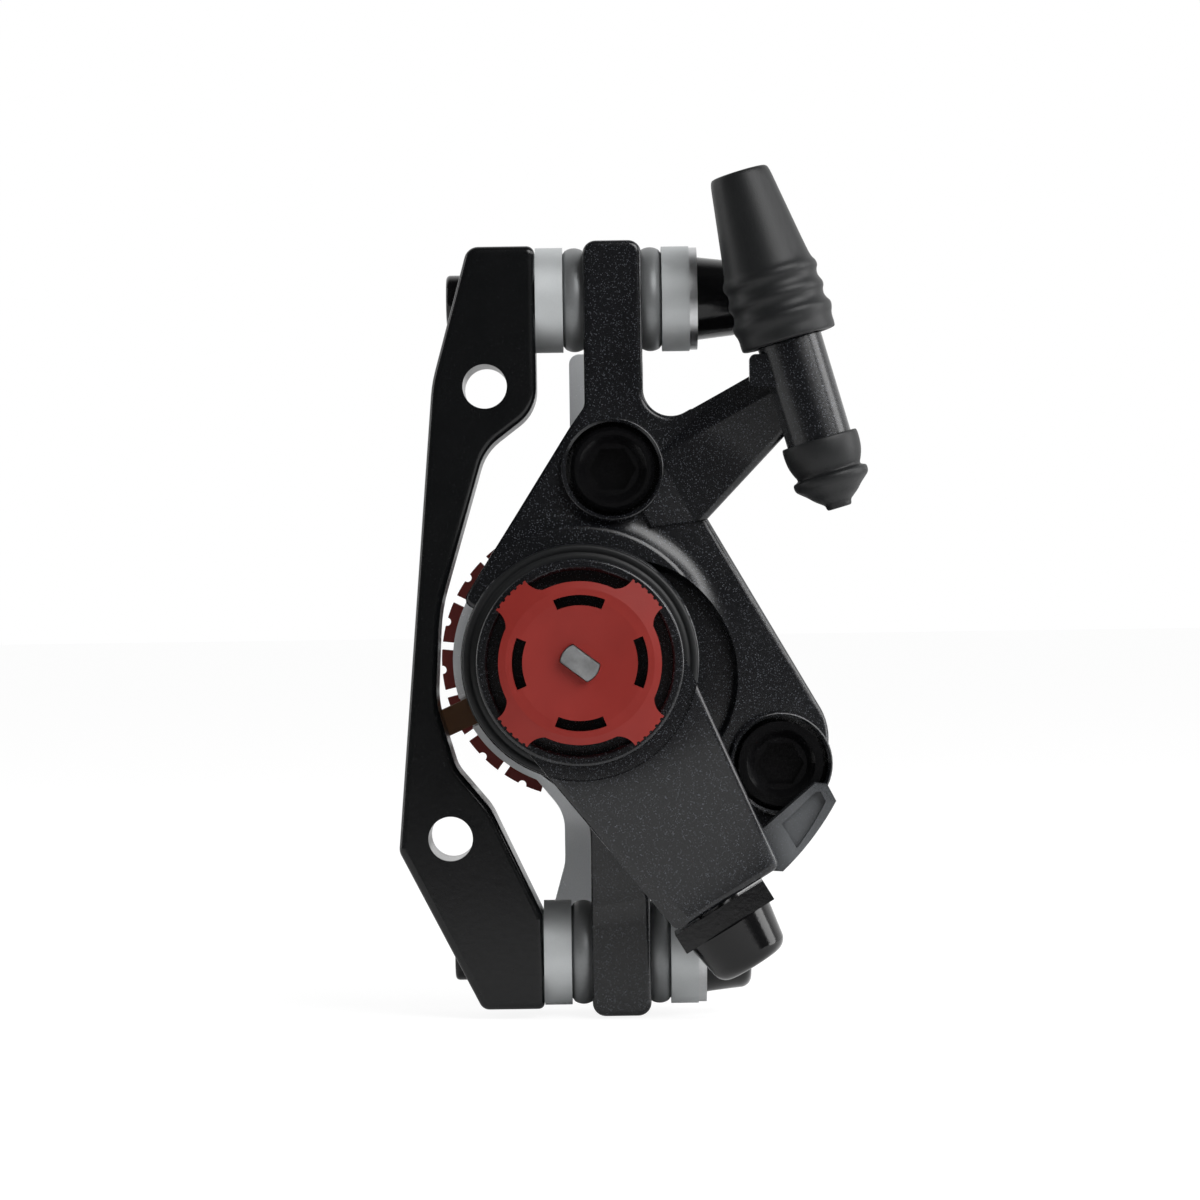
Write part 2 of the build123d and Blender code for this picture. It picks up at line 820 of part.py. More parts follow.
with BuildPart() as ramp_balls:
    for index in range(ramp_ball_count):
        angle = math.radians(ball_angle(index))
        centre = (
            hub_x + ramp_ball_circle * math.cos(angle),
            ball_y,
            hub_z + ramp_ball_circle * math.sin(angle),
        )
        with Locations(centre):
            Sphere(ramp_ball_radius)
ramp_balls.part.label = "ramp_balls"

cage_outer_radius = ramp_ball_circle + ramp_ball_radius + side_gap
with BuildPart() as ball_cage:
    with BuildSketch(hub_facing(ball_y + cage_thickness / 2)):
        Circle(cage_outer_radius)
        Circle(cage_inner_radius, mode=Mode.SUBTRACT)
        with PolarLocations(ramp_ball_circle, ramp_ball_count, start_angle=ball_angle(0)):
            Circle(ramp_ball_radius + cage_ball_gap, mode=Mode.SUBTRACT)
    extrude(amount=cage_thickness)
ball_cage.part.label = "ball_cage"

with BuildPart() as thrust_washer:
    with BuildSketch(hub_facing(cavity_front_y + thrust_washer_thickness)):
        Circle(cavity_radius - side_gap)
        Circle(stem_bore_radius + side_gap, mode=Mode.SUBTRACT)
    extrude(amount=thrust_washer_thickness)
thrust_washer.part.label = "thrust_washer"

# Foot screw: double-D tip in the outboard knob, thin shank, thread in the driven cam
screw_tip_y = outer_knob_front_y - screw_tip_proud
screw_shoulder_y = outer_knob_front_y + outer_knob_thickness + screw_tip_proud
screw_end_y = foot_front_y - face_gap
with BuildPart() as foot_screw:
    with BuildSketch(hub_facing(screw_end_y)):
        Circle(screw_radius)
    extrude(amount=screw_end_y - driven_face_y)
    with BuildSketch(hub_facing(driven_face_y)):
        Circle(screw_shank_radius)
    extrude(amount=driven_face_y - screw_shoulder_y)
    with BuildSketch(hub_facing(screw_shoulder_y, screw_tip_angle)):
        Circle(screw_tip_half)
        Rectangle(screw_tip_half * 2, screw_tip_flat * 2, mode=Mode.INTERSECT)
    extrude(amount=screw_shoulder_y - screw_tip_y)
foot_screw.part.label = "foot_screw"

# Outboard knob: four grip ears on the diagonals, arc windows, a dished face, a clip skirt
outer_knob_back_y = outer_knob_front_y + outer_knob_thickness


def knob_point(radius, angle):
    """Point on the knob's face from its radius and its angle in degrees."""
    return (radius * math.cos(math.radians(angle)), radius * math.sin(math.radians(angle)))


with BuildPart() as outer_knob:
    with BuildSketch(hub_facing(outer_knob_back_y)):
        Circle(outer_knob_radius)
        for ear in range(outer_knob_ears):
            middle = outer_knob_ear_angle + ear * full_turn / outer_knob_ears
            with BuildLine():
                start = knob_point(outer_knob_ear_radius, middle - outer_knob_ear_half_angle)
                crest = knob_point(outer_knob_ear_radius, middle)
                end = knob_point(outer_knob_ear_radius, middle + outer_knob_ear_half_angle)
                ThreePointArc(start, crest, end)
                foot_high = knob_point(outer_knob_root_radius, middle + outer_knob_flank_angle)
                bend_high = knob_point(outer_knob_bend_radius, middle + outer_knob_bend_angle)
                foot_low = knob_point(outer_knob_root_radius, middle - outer_knob_flank_angle)
                bend_low = knob_point(outer_knob_bend_radius, middle - outer_knob_bend_angle)
                ThreePointArc(end, bend_high, foot_high)
                Line(foot_high, foot_low)
                ThreePointArc(foot_low, bend_low, start)
            make_face()
    extrude(amount=outer_knob_thickness)
    with BuildSketch(hub_facing(outer_knob_front_y)):
        for ear in range(outer_knob_ears):
            middle = outer_knob_ear_angle + ear * full_turn / outer_knob_ears
            for tooth in range(outer_knob_serrations):
                step = 2 * outer_knob_ear_half_angle / outer_knob_serrations
                angle = middle + (tooth - (outer_knob_serrations - 1) / 2) * step
                with Locations(knob_point(outer_knob_ear_radius, angle)):
                    Circle(outer_knob_serration)
    extrude(amount=-outer_knob_thickness, mode=Mode.SUBTRACT)
    with BuildSketch(hub_section()):
        with BuildLine():
            Polyline(
                (0, outer_knob_front_y - overrun),
                (outer_knob_dish_radius, outer_knob_front_y - overrun),
                (outer_knob_dish_radius, outer_knob_front_y),
                (screw_tip_half, outer_knob_front_y + outer_knob_dish),
                (0, outer_knob_front_y + outer_knob_dish),
                close=True,
            )
        make_face()
        with BuildLine():
            Polyline(
                (outer_knob_slope_radius, outer_knob_front_y - overrun),
                (outer_knob_slope_radius, outer_knob_front_y),
                (outer_knob_ear_radius + overrun, outer_knob_front_y + outer_knob_slope),
                (outer_knob_ear_radius + overrun, outer_knob_front_y - overrun),
                close=True,
            )
        make_face()
    revolve(axis=hub_axis, mode=Mode.SUBTRACT)
    with BuildSketch(hub_facing(outer_knob_front_y)):
        for window in range(outer_knob_ears):
            middle = window * full_turn / outer_knob_ears
            low = middle - outer_knob_slot_sweep / 2
            high = middle + outer_knob_slot_sweep / 2
            with BuildLine():
                inner_low = knob_point(outer_knob_slot_inner, low)
                inner_high = knob_point(outer_knob_slot_inner, high)
                outer_low = knob_point(outer_knob_slot_outer, low)
                outer_high = knob_point(outer_knob_slot_outer, high)
                ThreePointArc(inner_low, knob_point(outer_knob_slot_inner, middle), inner_high)
                Line(inner_high, outer_high)
                ThreePointArc(outer_high, knob_point(outer_knob_slot_outer, middle), outer_low)
                Line(outer_low, inner_low)
            make_face()
    extrude(amount=-outer_knob_thickness, mode=Mode.SUBTRACT)
    with BuildSketch(hub_facing(screw_shoulder_y + face_gap)):
        Circle(outer_knob_boss_radius)
    extrude(amount=screw_shoulder_y + face_gap - outer_knob_back_y)
    with BuildSketch(hub_facing(arm_cup_floor_y - pocket_gap)):
        Circle(outer_knob_skirt_outer)
        Circle(outer_knob_skirt_inner, mode=Mode.SUBTRACT)
    extrude(amount=arm_cup_floor_y - pocket_gap - outer_knob_back_y)
    with BuildSketch(hub_facing(screw_shoulder_y + face_gap, screw_tip_angle)):
        Circle(screw_tip_half + face_gap)
        Rectangle(
            (screw_tip_half + face_gap) * 2,
            (screw_tip_flat + face_gap) * 2,
            mode=Mode.INTERSECT,
        )
    extrude(amount=outer_knob_thickness * 2, mode=Mode.SUBTRACT)
    with BuildSketch(hub_facing(screw_shoulder_y + face_gap)):
        Circle(screw_shank_radius + face_gap)
    extrude(amount=screw_tip_proud + face_gap, mode=Mode.SUBTRACT)
outer_knob.part.label = "outer_knob"

# Arm nut: holds the arm on the drive cam's stem, under the knob
with BuildPart() as arm_nut:
    with BuildSketch(hub_facing(arm_cup_floor_y)):
        RegularPolygon(nut_across / 2, side_count=hex_sides, major_radius=False)
        Circle(nut_thread_radius, mode=Mode.SUBTRACT)
    extrude(amount=nut_thickness)
arm_nut.part.label = "arm_nut"

# Dust seal: a soft ring between the arm's skirt and the housing's nose
with BuildPart() as dust_seal:
    with BuildSketch(hub_facing(hub_front_y - face_gap)):
        Circle(seal_outer_radius)
        Circle(seal_inner_radius, mode=Mode.SUBTRACT)
    extrude(amount=seal_thickness)
dust_seal.part.label = "dust_seal"

# Return spring: a torsion coil round the stem, in the arm's hollow and the housing's well
spring_start_y = hub_front_y + spring_well_depth - face_gap - spring_wire_radius
with BuildPart() as return_spring:
    with BuildLine() as coil:
        Helix(
            spring_pitch,
            spring_pitch * spring_turns,
            spring_coil_radius,
            center=(hub_x, spring_start_y, hub_z),
            direction=(0, -1, 0),
        )
    with BuildSketch(Plane(origin=coil.line @ 0, z_dir=coil.line % 0)):
        Circle(spring_wire_radius)
    sweep()
return_spring.part.label = "return_spring"

# Actuator arm: hub cup, tapered lever and the curved guide that the cable wraps on
arm_thickness = arm_back_y - arm_front_y
pinch_y = cable_plate_offset


def arm_point(along, across, depth):
    """A point of the arm from its distances along and across it, and its depth."""
    return arm_facing(depth).from_local_coords((along, across, 0))


pinch_line = Axis(arm_point(0, pinch_y, stop_y), arm_facing(stop_y).x_dir)
bevel_start = arm_point(arm_bevel_start, -arm_root_half, arm_front_y)
bevel_front = arm_point(arm_length, arm_bevel_width - arm_end_half, arm_front_y)
bevel_side = arm_point(arm_length, -arm_end_half, arm_front_y + arm_bevel_depth)
bevel_along = bevel_front - bevel_start
bevel_plane = Plane(
    origin=bevel_start,
    x_dir=bevel_along,
    z_dir=bevel_along.cross(bevel_side - bevel_front),
)
with BuildPart() as actuator_arm:
    with BuildSketch(arm_facing(arm_back_y)):
        with BuildLine():
            FilletPolyline(
                (0, -arm_root_half),
                (arm_length, -arm_end_half),
                (arm_length, arm_end_half),
                (0, arm_root_half),
                radius=[0, arm_corner, arm_corner, 0],
                close=True,
            )
        make_face()
    extrude(amount=arm_back_y - arm_front_y - arm_face_step)
    lever_front = actuator_arm.faces().sort_by(Axis.Y)[0].edges()
    fillet(lever_front.filter_by(lambda edge: (edge.center() - hub_point).length > cam_radius), arm_edge)
    split(bisect_by=bevel_plane, keep=Keep.TOP)
    with BuildSketch(arm_facing(arm_end_back_y)):
        with BuildLine():
            taper = (arm_root_half - arm_end_half) / arm_length
            start_half = arm_root_half - taper * arm_end_start
            FilletPolyline(
                (arm_end_start, -start_half),
                (arm_length, -arm_end_half),
                (arm_length, arm_end_half),
                (arm_end_start, start_half),
                radius=[0, arm_corner, arm_corner, 0],
                close=True,
            )
        make_face()
    extrude(amount=arm_end_back_y - arm_back_y)
    with BuildSketch(arm_facing(guide_back_y)):
        with BuildLine():
            guide_root, guide_foot, guide_rise, guide_tip = guide_corners
            Polyline((arm_end_start, 0), guide_root, guide_foot, guide_rise, guide_tip, guide_rim[0])
            ThreePointArc(*guide_rim)
            Polyline(guide_rim[2], (arm_length, arm_end_half - arm_corner), (arm_end_start, 0))
        make_face()
    extrude(amount=guide_back_y - guide_front_y)
    with BuildSketch(arm_facing(guide_front_y)):
        with BuildLine():
            Polyline(guide_web_rim[2], *guide_web_corners, guide_web_rim[0])
            ThreePointArc(*guide_web_rim)
        make_face()
    extrude(amount=-guide_web_depth, mode=Mode.SUBTRACT)
    with BuildSketch(arm_facing(arm_front_y)):
        Circle(arm_groove_radius)
    extrude(amount=-(arm_face_step + arm_groove_depth), mode=Mode.SUBTRACT)
    with BuildSketch(arm_facing(arm_back_y)):
        Circle(arm_hub_radius)
    extrude(amount=arm_thickness)
    hub_front = actuator_arm.faces().sort_by(Axis.Y)[0]
    fillet(hub_front.outer_wire().edges(), arm_rim_rounding)
    with BuildSketch(arm_facing(arm_front_y)):
        Circle(arm_cup_radius)
    extrude(amount=arm_front_y - arm_cup_floor_y, mode=Mode.SUBTRACT)
    cup_edge = actuator_arm.faces().sort_by(Axis.Y)[0].inner_wires()[0].edges()
    fillet(cup_edge, arm_rim_rounding)
    with BuildSketch(arm_facing(arm_back_y)):
        Circle(arm_hollow_radius)
    extrude(amount=arm_back_y - arm_web_back_y, mode=Mode.SUBTRACT)
    with BuildSketch(hub_facing(arm_back_y)):
        Circle(arm_stem_radius + running_gap)
        Rectangle(
            (arm_stem_radius + running_gap) * 2,
            (arm_stem_flat + running_gap) * 2,
            mode=Mode.INTERSECT,
        )
    extrude(amount=arm_thickness, mode=Mode.SUBTRACT)
    with BuildSketch(arm_facing(stop_y)):
        with BuildLine():
            Polyline(
                (arm_length - pinch_bolt_length, pinch_y),
                (arm_length - pinch_bolt_length, pinch_y + pinch_bolt_radius + running_gap),
                (arm_length + overrun, pinch_y + pinch_bolt_radius + running_gap),
                (arm_length + overrun, pinch_y),
                close=True,
            )
        make_face()
    revolve(axis=pinch_line, mode=Mode.SUBTRACT)
    with BuildSketch(Plane(origin=(hub_x + guide_radius, stop_y, hub_z), z_dir=(0, 0, 1))):
        Circle(guide_groove_radius)
    revolve(axis=hub_axis, mode=Mode.SUBTRACT)
actuator_arm.part.label = "actuator_arm"

# Cable plate and pinch bolt: clamp the inner cable against the end of the arm
plate_start = arm_length + plate_gap
plate_end = plate_start + cable_plate_thickness
with BuildPart() as cable_plate:
    with BuildSketch(arm_facing(stop_y + cable_plate_depth / 2)):
        with Locations(((plate_start + plate_end) / 2, cable_plate_offset)):
            Rectangle(cable_plate_thickness, cable_plate_half * 2)
        lip_side = cable_plate_offset + cable_plate_half - cable_plate_lip / 2
        with Locations((plate_start + cable_plate_thickness / 2, lip_side)):
            Rectangle(cable_plate_thickness, cable_plate_lip)
    extrude(amount=cable_plate_depth)
    with BuildSketch(arm_facing(stop_y)):
        with BuildLine():
            Polyline(
                (plate_start - overrun, pinch_y),
                (plate_start - overrun, pinch_y + pinch_bolt_radius + running_gap),
                (plate_end + overrun, pinch_y + pinch_bolt_radius + running_gap),
                (plate_end + overrun, pinch_y),
                close=True,
            )
        make_face()
    revolve(axis=pinch_line, mode=Mode.SUBTRACT)
cable_plate.part.label = "cable_plate"

with BuildPart() as pinch_bolt:
    with BuildSketch(arm_facing(stop_y)):
        with BuildLine():
            tip = (arm_length - pinch_bolt_length + overrun, pinch_y)
            head_end = plate_end + pinch_head_height
            FilletPolyline(
                tip,
                (tip[0], pinch_y + pinch_bolt_radius),
                (plate_end, pinch_y + pinch_bolt_radius),
                (plate_end, pinch_y + pinch_head_radius),
                (head_end, pinch_y + pinch_head_tip_radius),
                (head_end, pinch_y),
                tip,
                radius=[0, shank_rounding, 0, 0, pinch_head_rounding, 0],
                close=True,
            )
        make_face()
    revolve(axis=pinch_line)
    socket = Plane(
        origin=arm_facing(stop_y).from_local_coords((head_end, pinch_y, 0)),
        z_dir=arm_facing(stop_y).x_dir,
    )
    with BuildSketch(socket):
        RegularPolygon(hex_key_pinch / 2, side_count=hex_sides, major_radius=False)
    extrude(amount=-hex_key_depth, mode=Mode.SUBTRACT)
pinch_bolt.part.label = "pinch_bolt"

# Branch: rises outboard from the body to the cable stop's sleeve, bevelled along its top
branch_corners = []
for across_share, up_share in branch_corner_shares:
    across = ear_left_x + across_share * housing_width
    branch_corners.append((across, post_middle_z + up_share * post_spacing))
branch_root, branch_crest, branch_tip = branch_corners[1:4]
branch_length = math.dist(branch_root, branch_tip)
branch_rise = math.atan2(branch_crest[1] - branch_root[1], branch_crest[0] - branch_root[0])


def branch_section():
    """Plane along the branch, square to its outline: distance along it, outboard up."""
    return Plane(
        origin=(branch_root[0], 0, branch_root[1]),
        x_dir=(math.cos(branch_rise), 0, math.sin(branch_rise)),
        z_dir=(-math.sin(branch_rise), 0, math.cos(branch_rise)),
    )


branch_low_start, branch_low_end = branch_corners[4], branch_corners[5]
branch_low_point = Vector(
    (branch_low_start[0] + branch_low_end[0]) / 2,
    (branch_front_y + branch_root_y) / 2,
    (branch_low_start[1] + branch_low_end[1]) / 2,
)

with BuildPart() as branch:
    with BuildSketch(facing(branch_back_y)):
        with BuildLine():
            Polyline(*branch_corners, close=True)
        make_face()
    extrude(amount=branch_back_y - branch_front_y)
    with BuildSketch(branch_section()):
        with BuildLine():
            Polyline(
                (-branch_length, branch_back_y + overrun),
                (-branch_length, branch_root_y + overrun),
                (branch_run_in, branch_root_y),
                (branch_length, branch_front_y),
                (branch_length, branch_back_y + overrun),
                close=True,
            )
        make_face()
    extrude(amount=branch_length, both=True, mode=Mode.INTERSECT)
    top_edge = branch_section().from_local_coords((branch_length / 2, branch_front_y / 2, 0))
    chamfer(branch.edges().sort_by_distance(top_edge)[0], branch_bevel)
    ridge = branch_section().from_local_coords(
        (branch_length / 2, branch_front_y / 2, -branch_bevel)
    )
    low_edge = branch.edges().sort_by_distance(branch_low_point)[0]
    fillet([low_edge, branch.edges().sort_by_distance(ridge)[0]], branch_edge)


def is_recess_rim(edge):
    """Whether an edge is the round mouth of a body bolt's recess."""
    if edge.geom_type != GeomType.CIRCLE or abs(edge.center().Y - boss_front_y) > running_gap:
        return False
    return abs(edge.radius - body_recess_radius) < running_gap


def is_front_edge(edge):
    """Whether an edge runs round the front face of the ears and the dished body."""
    runs_across = abs(edge.tangent_at(0).Y) < front_slope_limit
    return runs_across and edge.center().Y < dish_valley_y + overrun


# Bolt bosses: round towers over the two body bolts
with BuildPart() as bosses:
    with BuildSketch(facing(inner_wall_y)):
        with Locations(*body_bolts_at):
            Circle(boss_radius)
    extrude(amount=inner_wall_y - boss_front_y)
    fillet(bosses.faces().filter_by(Axis.Y).group_by(Axis.Y)[0].edges(), boss_edge)

# Outer housing: ears, dished body, hub, bolt bosses, branch and sleeve, bored for the stack
with BuildPart() as outer_housing:
    with BuildSketch(facing(frame_back_y)):
        with BuildLine():
            outline(frame_corner_shares, ear_left_x, housing_width)
        make_face()
    extrude(amount=frame_back_y - ear_front_y)
    with BuildSketch(hub_section()):
        with BuildLine():
            far = dish_rim_radius * 2
            FilletPolyline(
                (far, ear_front_y - overrun),
                (dish_rim_radius, ear_front_y + dish_rim_sink),
                (dish_valley_radius, dish_valley_y),
                (hub_radius, ear_front_y - overrun * 2),
                (far, ear_front_y - overrun * 2),
                radius=[0, dish_rim_rounding, dish_valley_rounding, 0, 0],
                close=True,
            )
        make_face()
    revolve(axis=hub_axis, mode=Mode.SUBTRACT)
    fillet(outer_housing.edges().filter_by(is_front_edge), frame_edge)
    with BuildSketch(facing(ear_front_y)):
        with Locations((hub_x + crescent_shift_x, hub_z + crescent_shift_z)):
            Circle(crescent_radius)
    extrude(amount=-crescent_depth, taper=crescent_taper, mode=Mode.SUBTRACT)
    with BuildSketch(facing(inner_wall_y)):
        with BuildLine():
            outline(base_corner_shares, ear_left_x, housing_width)
        make_face()
    extrude(amount=inner_wall_y - frame_back_y)
    with BuildSketch(hub_facing(outer_wall_y)):
        Circle(hub_radius)
    extrude(amount=outer_wall_y - hub_front_y)
    hub_rim = outer_housing.faces().sort_by(Axis.Y)[0].edges()
    fillet(hub_rim, hub_edge)
    add(branch.part)
    add(bosses.part)
    with BuildSketch(facing(stop_y)):
        with Locations((stop_lug_x, stop_lug_z)):
            RectangleRounded(stop_lug_width, stop_lug_height, stop_lug_rounding)
    extrude(amount=stop_lug_reach)
    with BuildSketch(stop_cross(sleeve_length)):
        Circle(sleeve_radius)
    extrude(amount=sleeve_length)
    with BuildSketch(stop_cross(sleeve_length + overrun)):
        Circle(barrel_radius + running_gap)
    extrude(amount=sleeve_length + overrun * 2, mode=Mode.SUBTRACT)
    with BuildSketch(hub_facing(cavity_front_y + overrun)):
        Circle(stem_bore_radius)
    extrude(amount=cavity_front_y - hub_front_y + overrun * 2, mode=Mode.SUBTRACT)
    with BuildSketch(hub_facing(hub_front_y + spring_well_depth)):
        Circle(spring_well_radius)
        Circle(spring_guide_radius, mode=Mode.SUBTRACT)
    extrude(amount=spring_well_depth, mode=Mode.SUBTRACT)
    with BuildSketch(hub_facing(pocket_floor_y)):
        Circle(cavity_radius)
    extrude(amount=pocket_floor_y - cavity_front_y, mode=Mode.SUBTRACT)
    with BuildSketch(hub_facing(pocket_floor_y)):
        Rectangle((cavity_radius + key_reach) * 2, key_width)
    extrude(amount=pocket_floor_y - driven_face_y + face_gap, mode=Mode.SUBTRACT)
    with BuildSketch(hub_facing(outer_wall_y, pad_angle)):
        pocket_outline()
    extrude(amount=outer_wall_y - pocket_floor_y, mode=Mode.SUBTRACT)
    with BuildSketch(facing(inner_wall_y)):
        with Locations((rotor_x, rotor_z)):
            Circle(slot_radius)
    extrude(amount=slot_width, mode=Mode.SUBTRACT)
    for height in post_heights:
        slot_plane = Plane(
            origin=(ear_right_x + overrun, post_axis_y, height),
            x_dir=(0, 1, 0),
            z_dir=(1, 0, 0),
        )
        with BuildSketch(slot_plane):
            SlotOverall(ear_slot_length, ear_slot_width)
        extrude(amount=-ear_thickness - overrun * 2, mode=Mode.SUBTRACT)
    with Locations(facing(boss_front_y)):
        with Locations(*body_bolts_at):
            CounterBoreHole(
                bolt_radius + side_gap,
                body_recess_radius,
                body_head_height + body_head_sink,
            )
    recess_rims = outer_housing.edges().filter_by(is_recess_rim)
    chamfer(recess_rims, recess_edge)
outer_housing.part.label = "outer_housing"

# Inner housing: the inboard half, with the fixed pad's pocket and the inner screw's bore
with BuildPart() as inner_housing:
    with BuildSketch(facing(inner_back_y)):
        with BuildLine():
            outline(inner_corner_shares, ear_left_x, housing_width)
        make_face()
        with Locations((hub_x, hub_z)):
            Circle(inner_ring_radius)
    extrude(amount=inner_back_y - inner_wall_y)
    fillet(inner_housing.faces().sort_by(Axis.Y)[-1].edges(), inner_edge)
    with BuildSketch(hub_facing(inner_boss_back_y)):
        Circle(inner_boss_radius)
    extrude(amount=inner_boss_back_y - inner_back_y)
    with BuildSketch(hub_facing(inner_pocket_floor_y, pad_angle)):
        pocket_outline()
    extrude(amount=inner_pocket_floor_y - inner_wall_y, mode=Mode.SUBTRACT)
    with BuildSketch(hub_facing(inner_foot_back_y + pocket_gap)):
        Circle(foot_radius + side_gap)
    extrude(amount=foot_thickness, mode=Mode.SUBTRACT)
    with BuildSketch(hub_facing(inner_foot_back_y + foot_sleeve_length + pocket_gap)):
        sleeve_outline(running_gap)
    extrude(amount=foot_sleeve_length + pocket_gap, mode=Mode.SUBTRACT)
    with BuildSketch(hub_facing(inner_boss_back_y)):
        Circle(screw_radius + running_gap)
    extrude(amount=inner_boss_back_y - inner_foot_back_y, mode=Mode.SUBTRACT)
    with BuildSketch(facing(inner_wall_y)):
        with Locations(*body_bolts_at):
            Circle(bolt_radius + running_gap)
    extrude(amount=-(body_bolt_reach - inner_wall_y + overrun), mode=Mode.SUBTRACT)
inner_housing.part.label = "inner_housing"

# Inner screw and inboard knob: the castellated knob turns the screw that feeds the inner foot
inner_knob_back_y = inner_knob_front_y + inner_knob_thickness
knob_floor_y = inner_knob_back_y - inner_knob_face
with BuildPart() as inner_screw:
    with BuildSketch(hub_facing(knob_floor_y)):
        Circle(screw_radius)
    extrude(amount=knob_floor_y - inner_foot_back_y)
    with BuildSketch(hub_facing(inner_knob_back_y)):
        Circle(screw_radius)
        Rectangle(screw_radius * 2, screw_radius, mode=Mode.INTERSECT)
    extrude(amount=inner_knob_face)
inner_screw.part.label = "inner_screw"

with BuildPart() as inner_knob:
    with BuildSketch(hub_facing(inner_knob_back_y)):
        Circle(inner_knob_radius)
    extrude(amount=inner_knob_thickness)
    with BuildSketch(hub_facing(knob_floor_y)):
        Circle(inner_boss_radius + side_gap)
    extrude(amount=knob_floor_y - inner_knob_front_y, mode=Mode.SUBTRACT)
    with BuildSketch(hub_facing(inner_knob_back_y)):
        Circle(screw_radius + running_gap)
        Rectangle(
            (screw_radius + running_gap) * 2,
            screw_radius + running_gap * 2,
            mode=Mode.INTERSECT,
        )
    extrude(amount=inner_knob_thickness, mode=Mode.SUBTRACT)
    with BuildSketch(hub_facing(inner_knob_back_y)):
        with PolarLocations(inner_knob_radius, inner_knob_pairs, start_angle=inner_knob_gap_angle):
            Rectangle(inner_knob_gap_depth * 2, inner_knob_gap_width)
        notch_angle = inner_knob_gap_angle + full_turn / inner_knob_pairs / 2
        with PolarLocations(inner_knob_radius, inner_knob_pairs, start_angle=notch_angle):
            Circle(inner_knob_notch_radius)
    extrude(amount=inner_knob_thickness, mode=Mode.SUBTRACT)
    with BuildSketch(hub_facing(inner_knob_back_y)):
        Circle(inner_knob_radius - inner_knob_wall)
        Circle(screw_radius + inner_knob_wall, mode=Mode.SUBTRACT)
    extrude(amount=inner_knob_grip_depth, mode=Mode.SUBTRACT)
inner_knob.part.label = "inner_knob"

# Body bolts: dished socket heads sunk in the bosses, shanks tapped into the inner housing
with BuildPart() as body_bolts:
    head_front_y = boss_front_y + body_head_sink
    with BuildSketch(facing(head_front_y + body_head_height)):
        with Locations(*body_bolts_at):
            Circle(body_head_radius)
    extrude(amount=body_head_height)
    chamfer(body_bolts.faces().sort_by(Axis.Y)[0].edges(), body_head_dish / 2)
    with BuildSketch(facing(body_bolt_reach)):
        with Locations(*body_bolts_at):
            Circle(bolt_radius)
    extrude(amount=body_bolt_reach - head_front_y - body_head_height)
    with BuildSketch(facing(head_front_y)):
        with Locations(*body_bolts_at):
            Circle(body_head_radius - body_head_dish)
    extrude(amount=-body_head_dish, taper=body_dish_taper, mode=Mode.SUBTRACT)
    with BuildSketch(facing(head_front_y)):
        with Locations(*body_bolts_at):
            RegularPolygon(hex_key_t25 / 2, side_count=hex_sides, major_radius=False)
    extrude(amount=-hex_key_depth, mode=Mode.SUBTRACT)
body_bolts.part.label = "body_bolts"

# Barrel adjuster: threaded shank in the sleeve, fluted head with the cable housing's socket
with BuildPart() as barrel_adjuster:
    with BuildSketch(stop_cross(barrel_length)):
        Circle(barrel_radius)
    extrude(amount=barrel_length)
    with BuildSketch(stop_cross(-face_gap)):
        Circle(barrel_head_radius)
        with PolarLocations(barrel_head_radius, barrel_flutes):
            Circle(barrel_flute_radius, mode=Mode.SUBTRACT)
    extrude(amount=barrel_head_length)
    with BuildSketch(stop_cross(face_gap)):
        Circle(barrel_radius)
    extrude(amount=face_gap * 2)
    with BuildSketch(stop_cross(-face_gap - barrel_head_length)):
        Circle(socket_radius)
    extrude(amount=-socket_depth, mode=Mode.SUBTRACT)
    with BuildSketch(stop_cross(barrel_length)):
        Circle(cable_hole_radius)
    extrude(amount=barrel_length + barrel_head_length, mode=Mode.SUBTRACT)
barrel_adjuster.part.label = "barrel_adjuster"

# Upper boot: a cone with three soft rings and a skirt, over the barrel's head
boot_bore = barrel_head_radius + boot_wall_gap
with BuildPart() as upper_boot:
    with BuildSketch(stop_section()):
        with BuildLine():
            ring_rows = []
            for ring in range(boot_rings):
                low = boot_ring_pitch * ring + boot_ring_pitch
                ring_rows.append((boot_valley_radius, low - boot_ring_half))
                ring_rows.append((boot_ring_radius, low))
                ring_rows.append((boot_valley_radius, low + boot_ring_half))
            mouth = barrel_head_length + boot_wall_gap * 2
            points = [(boot_bore, face_gap), (boot_skirt_radius, face_gap)]
            points += ring_rows
            points += [
                (boot_neck_radius, boot_ring_pitch * boot_rings + boot_ring_half * 2),
                (boot_top_radius, boot_length),
                (socket_radius + running_gap, boot_length),
                (socket_radius + running_gap, mouth),
                (boot_bore, mouth - boot_wall_gap),
            ]
            Polyline(*points, close=True)
        make_face()
    revolve(axis=stop_axis())
upper_boot.part.label = "upper_boot"

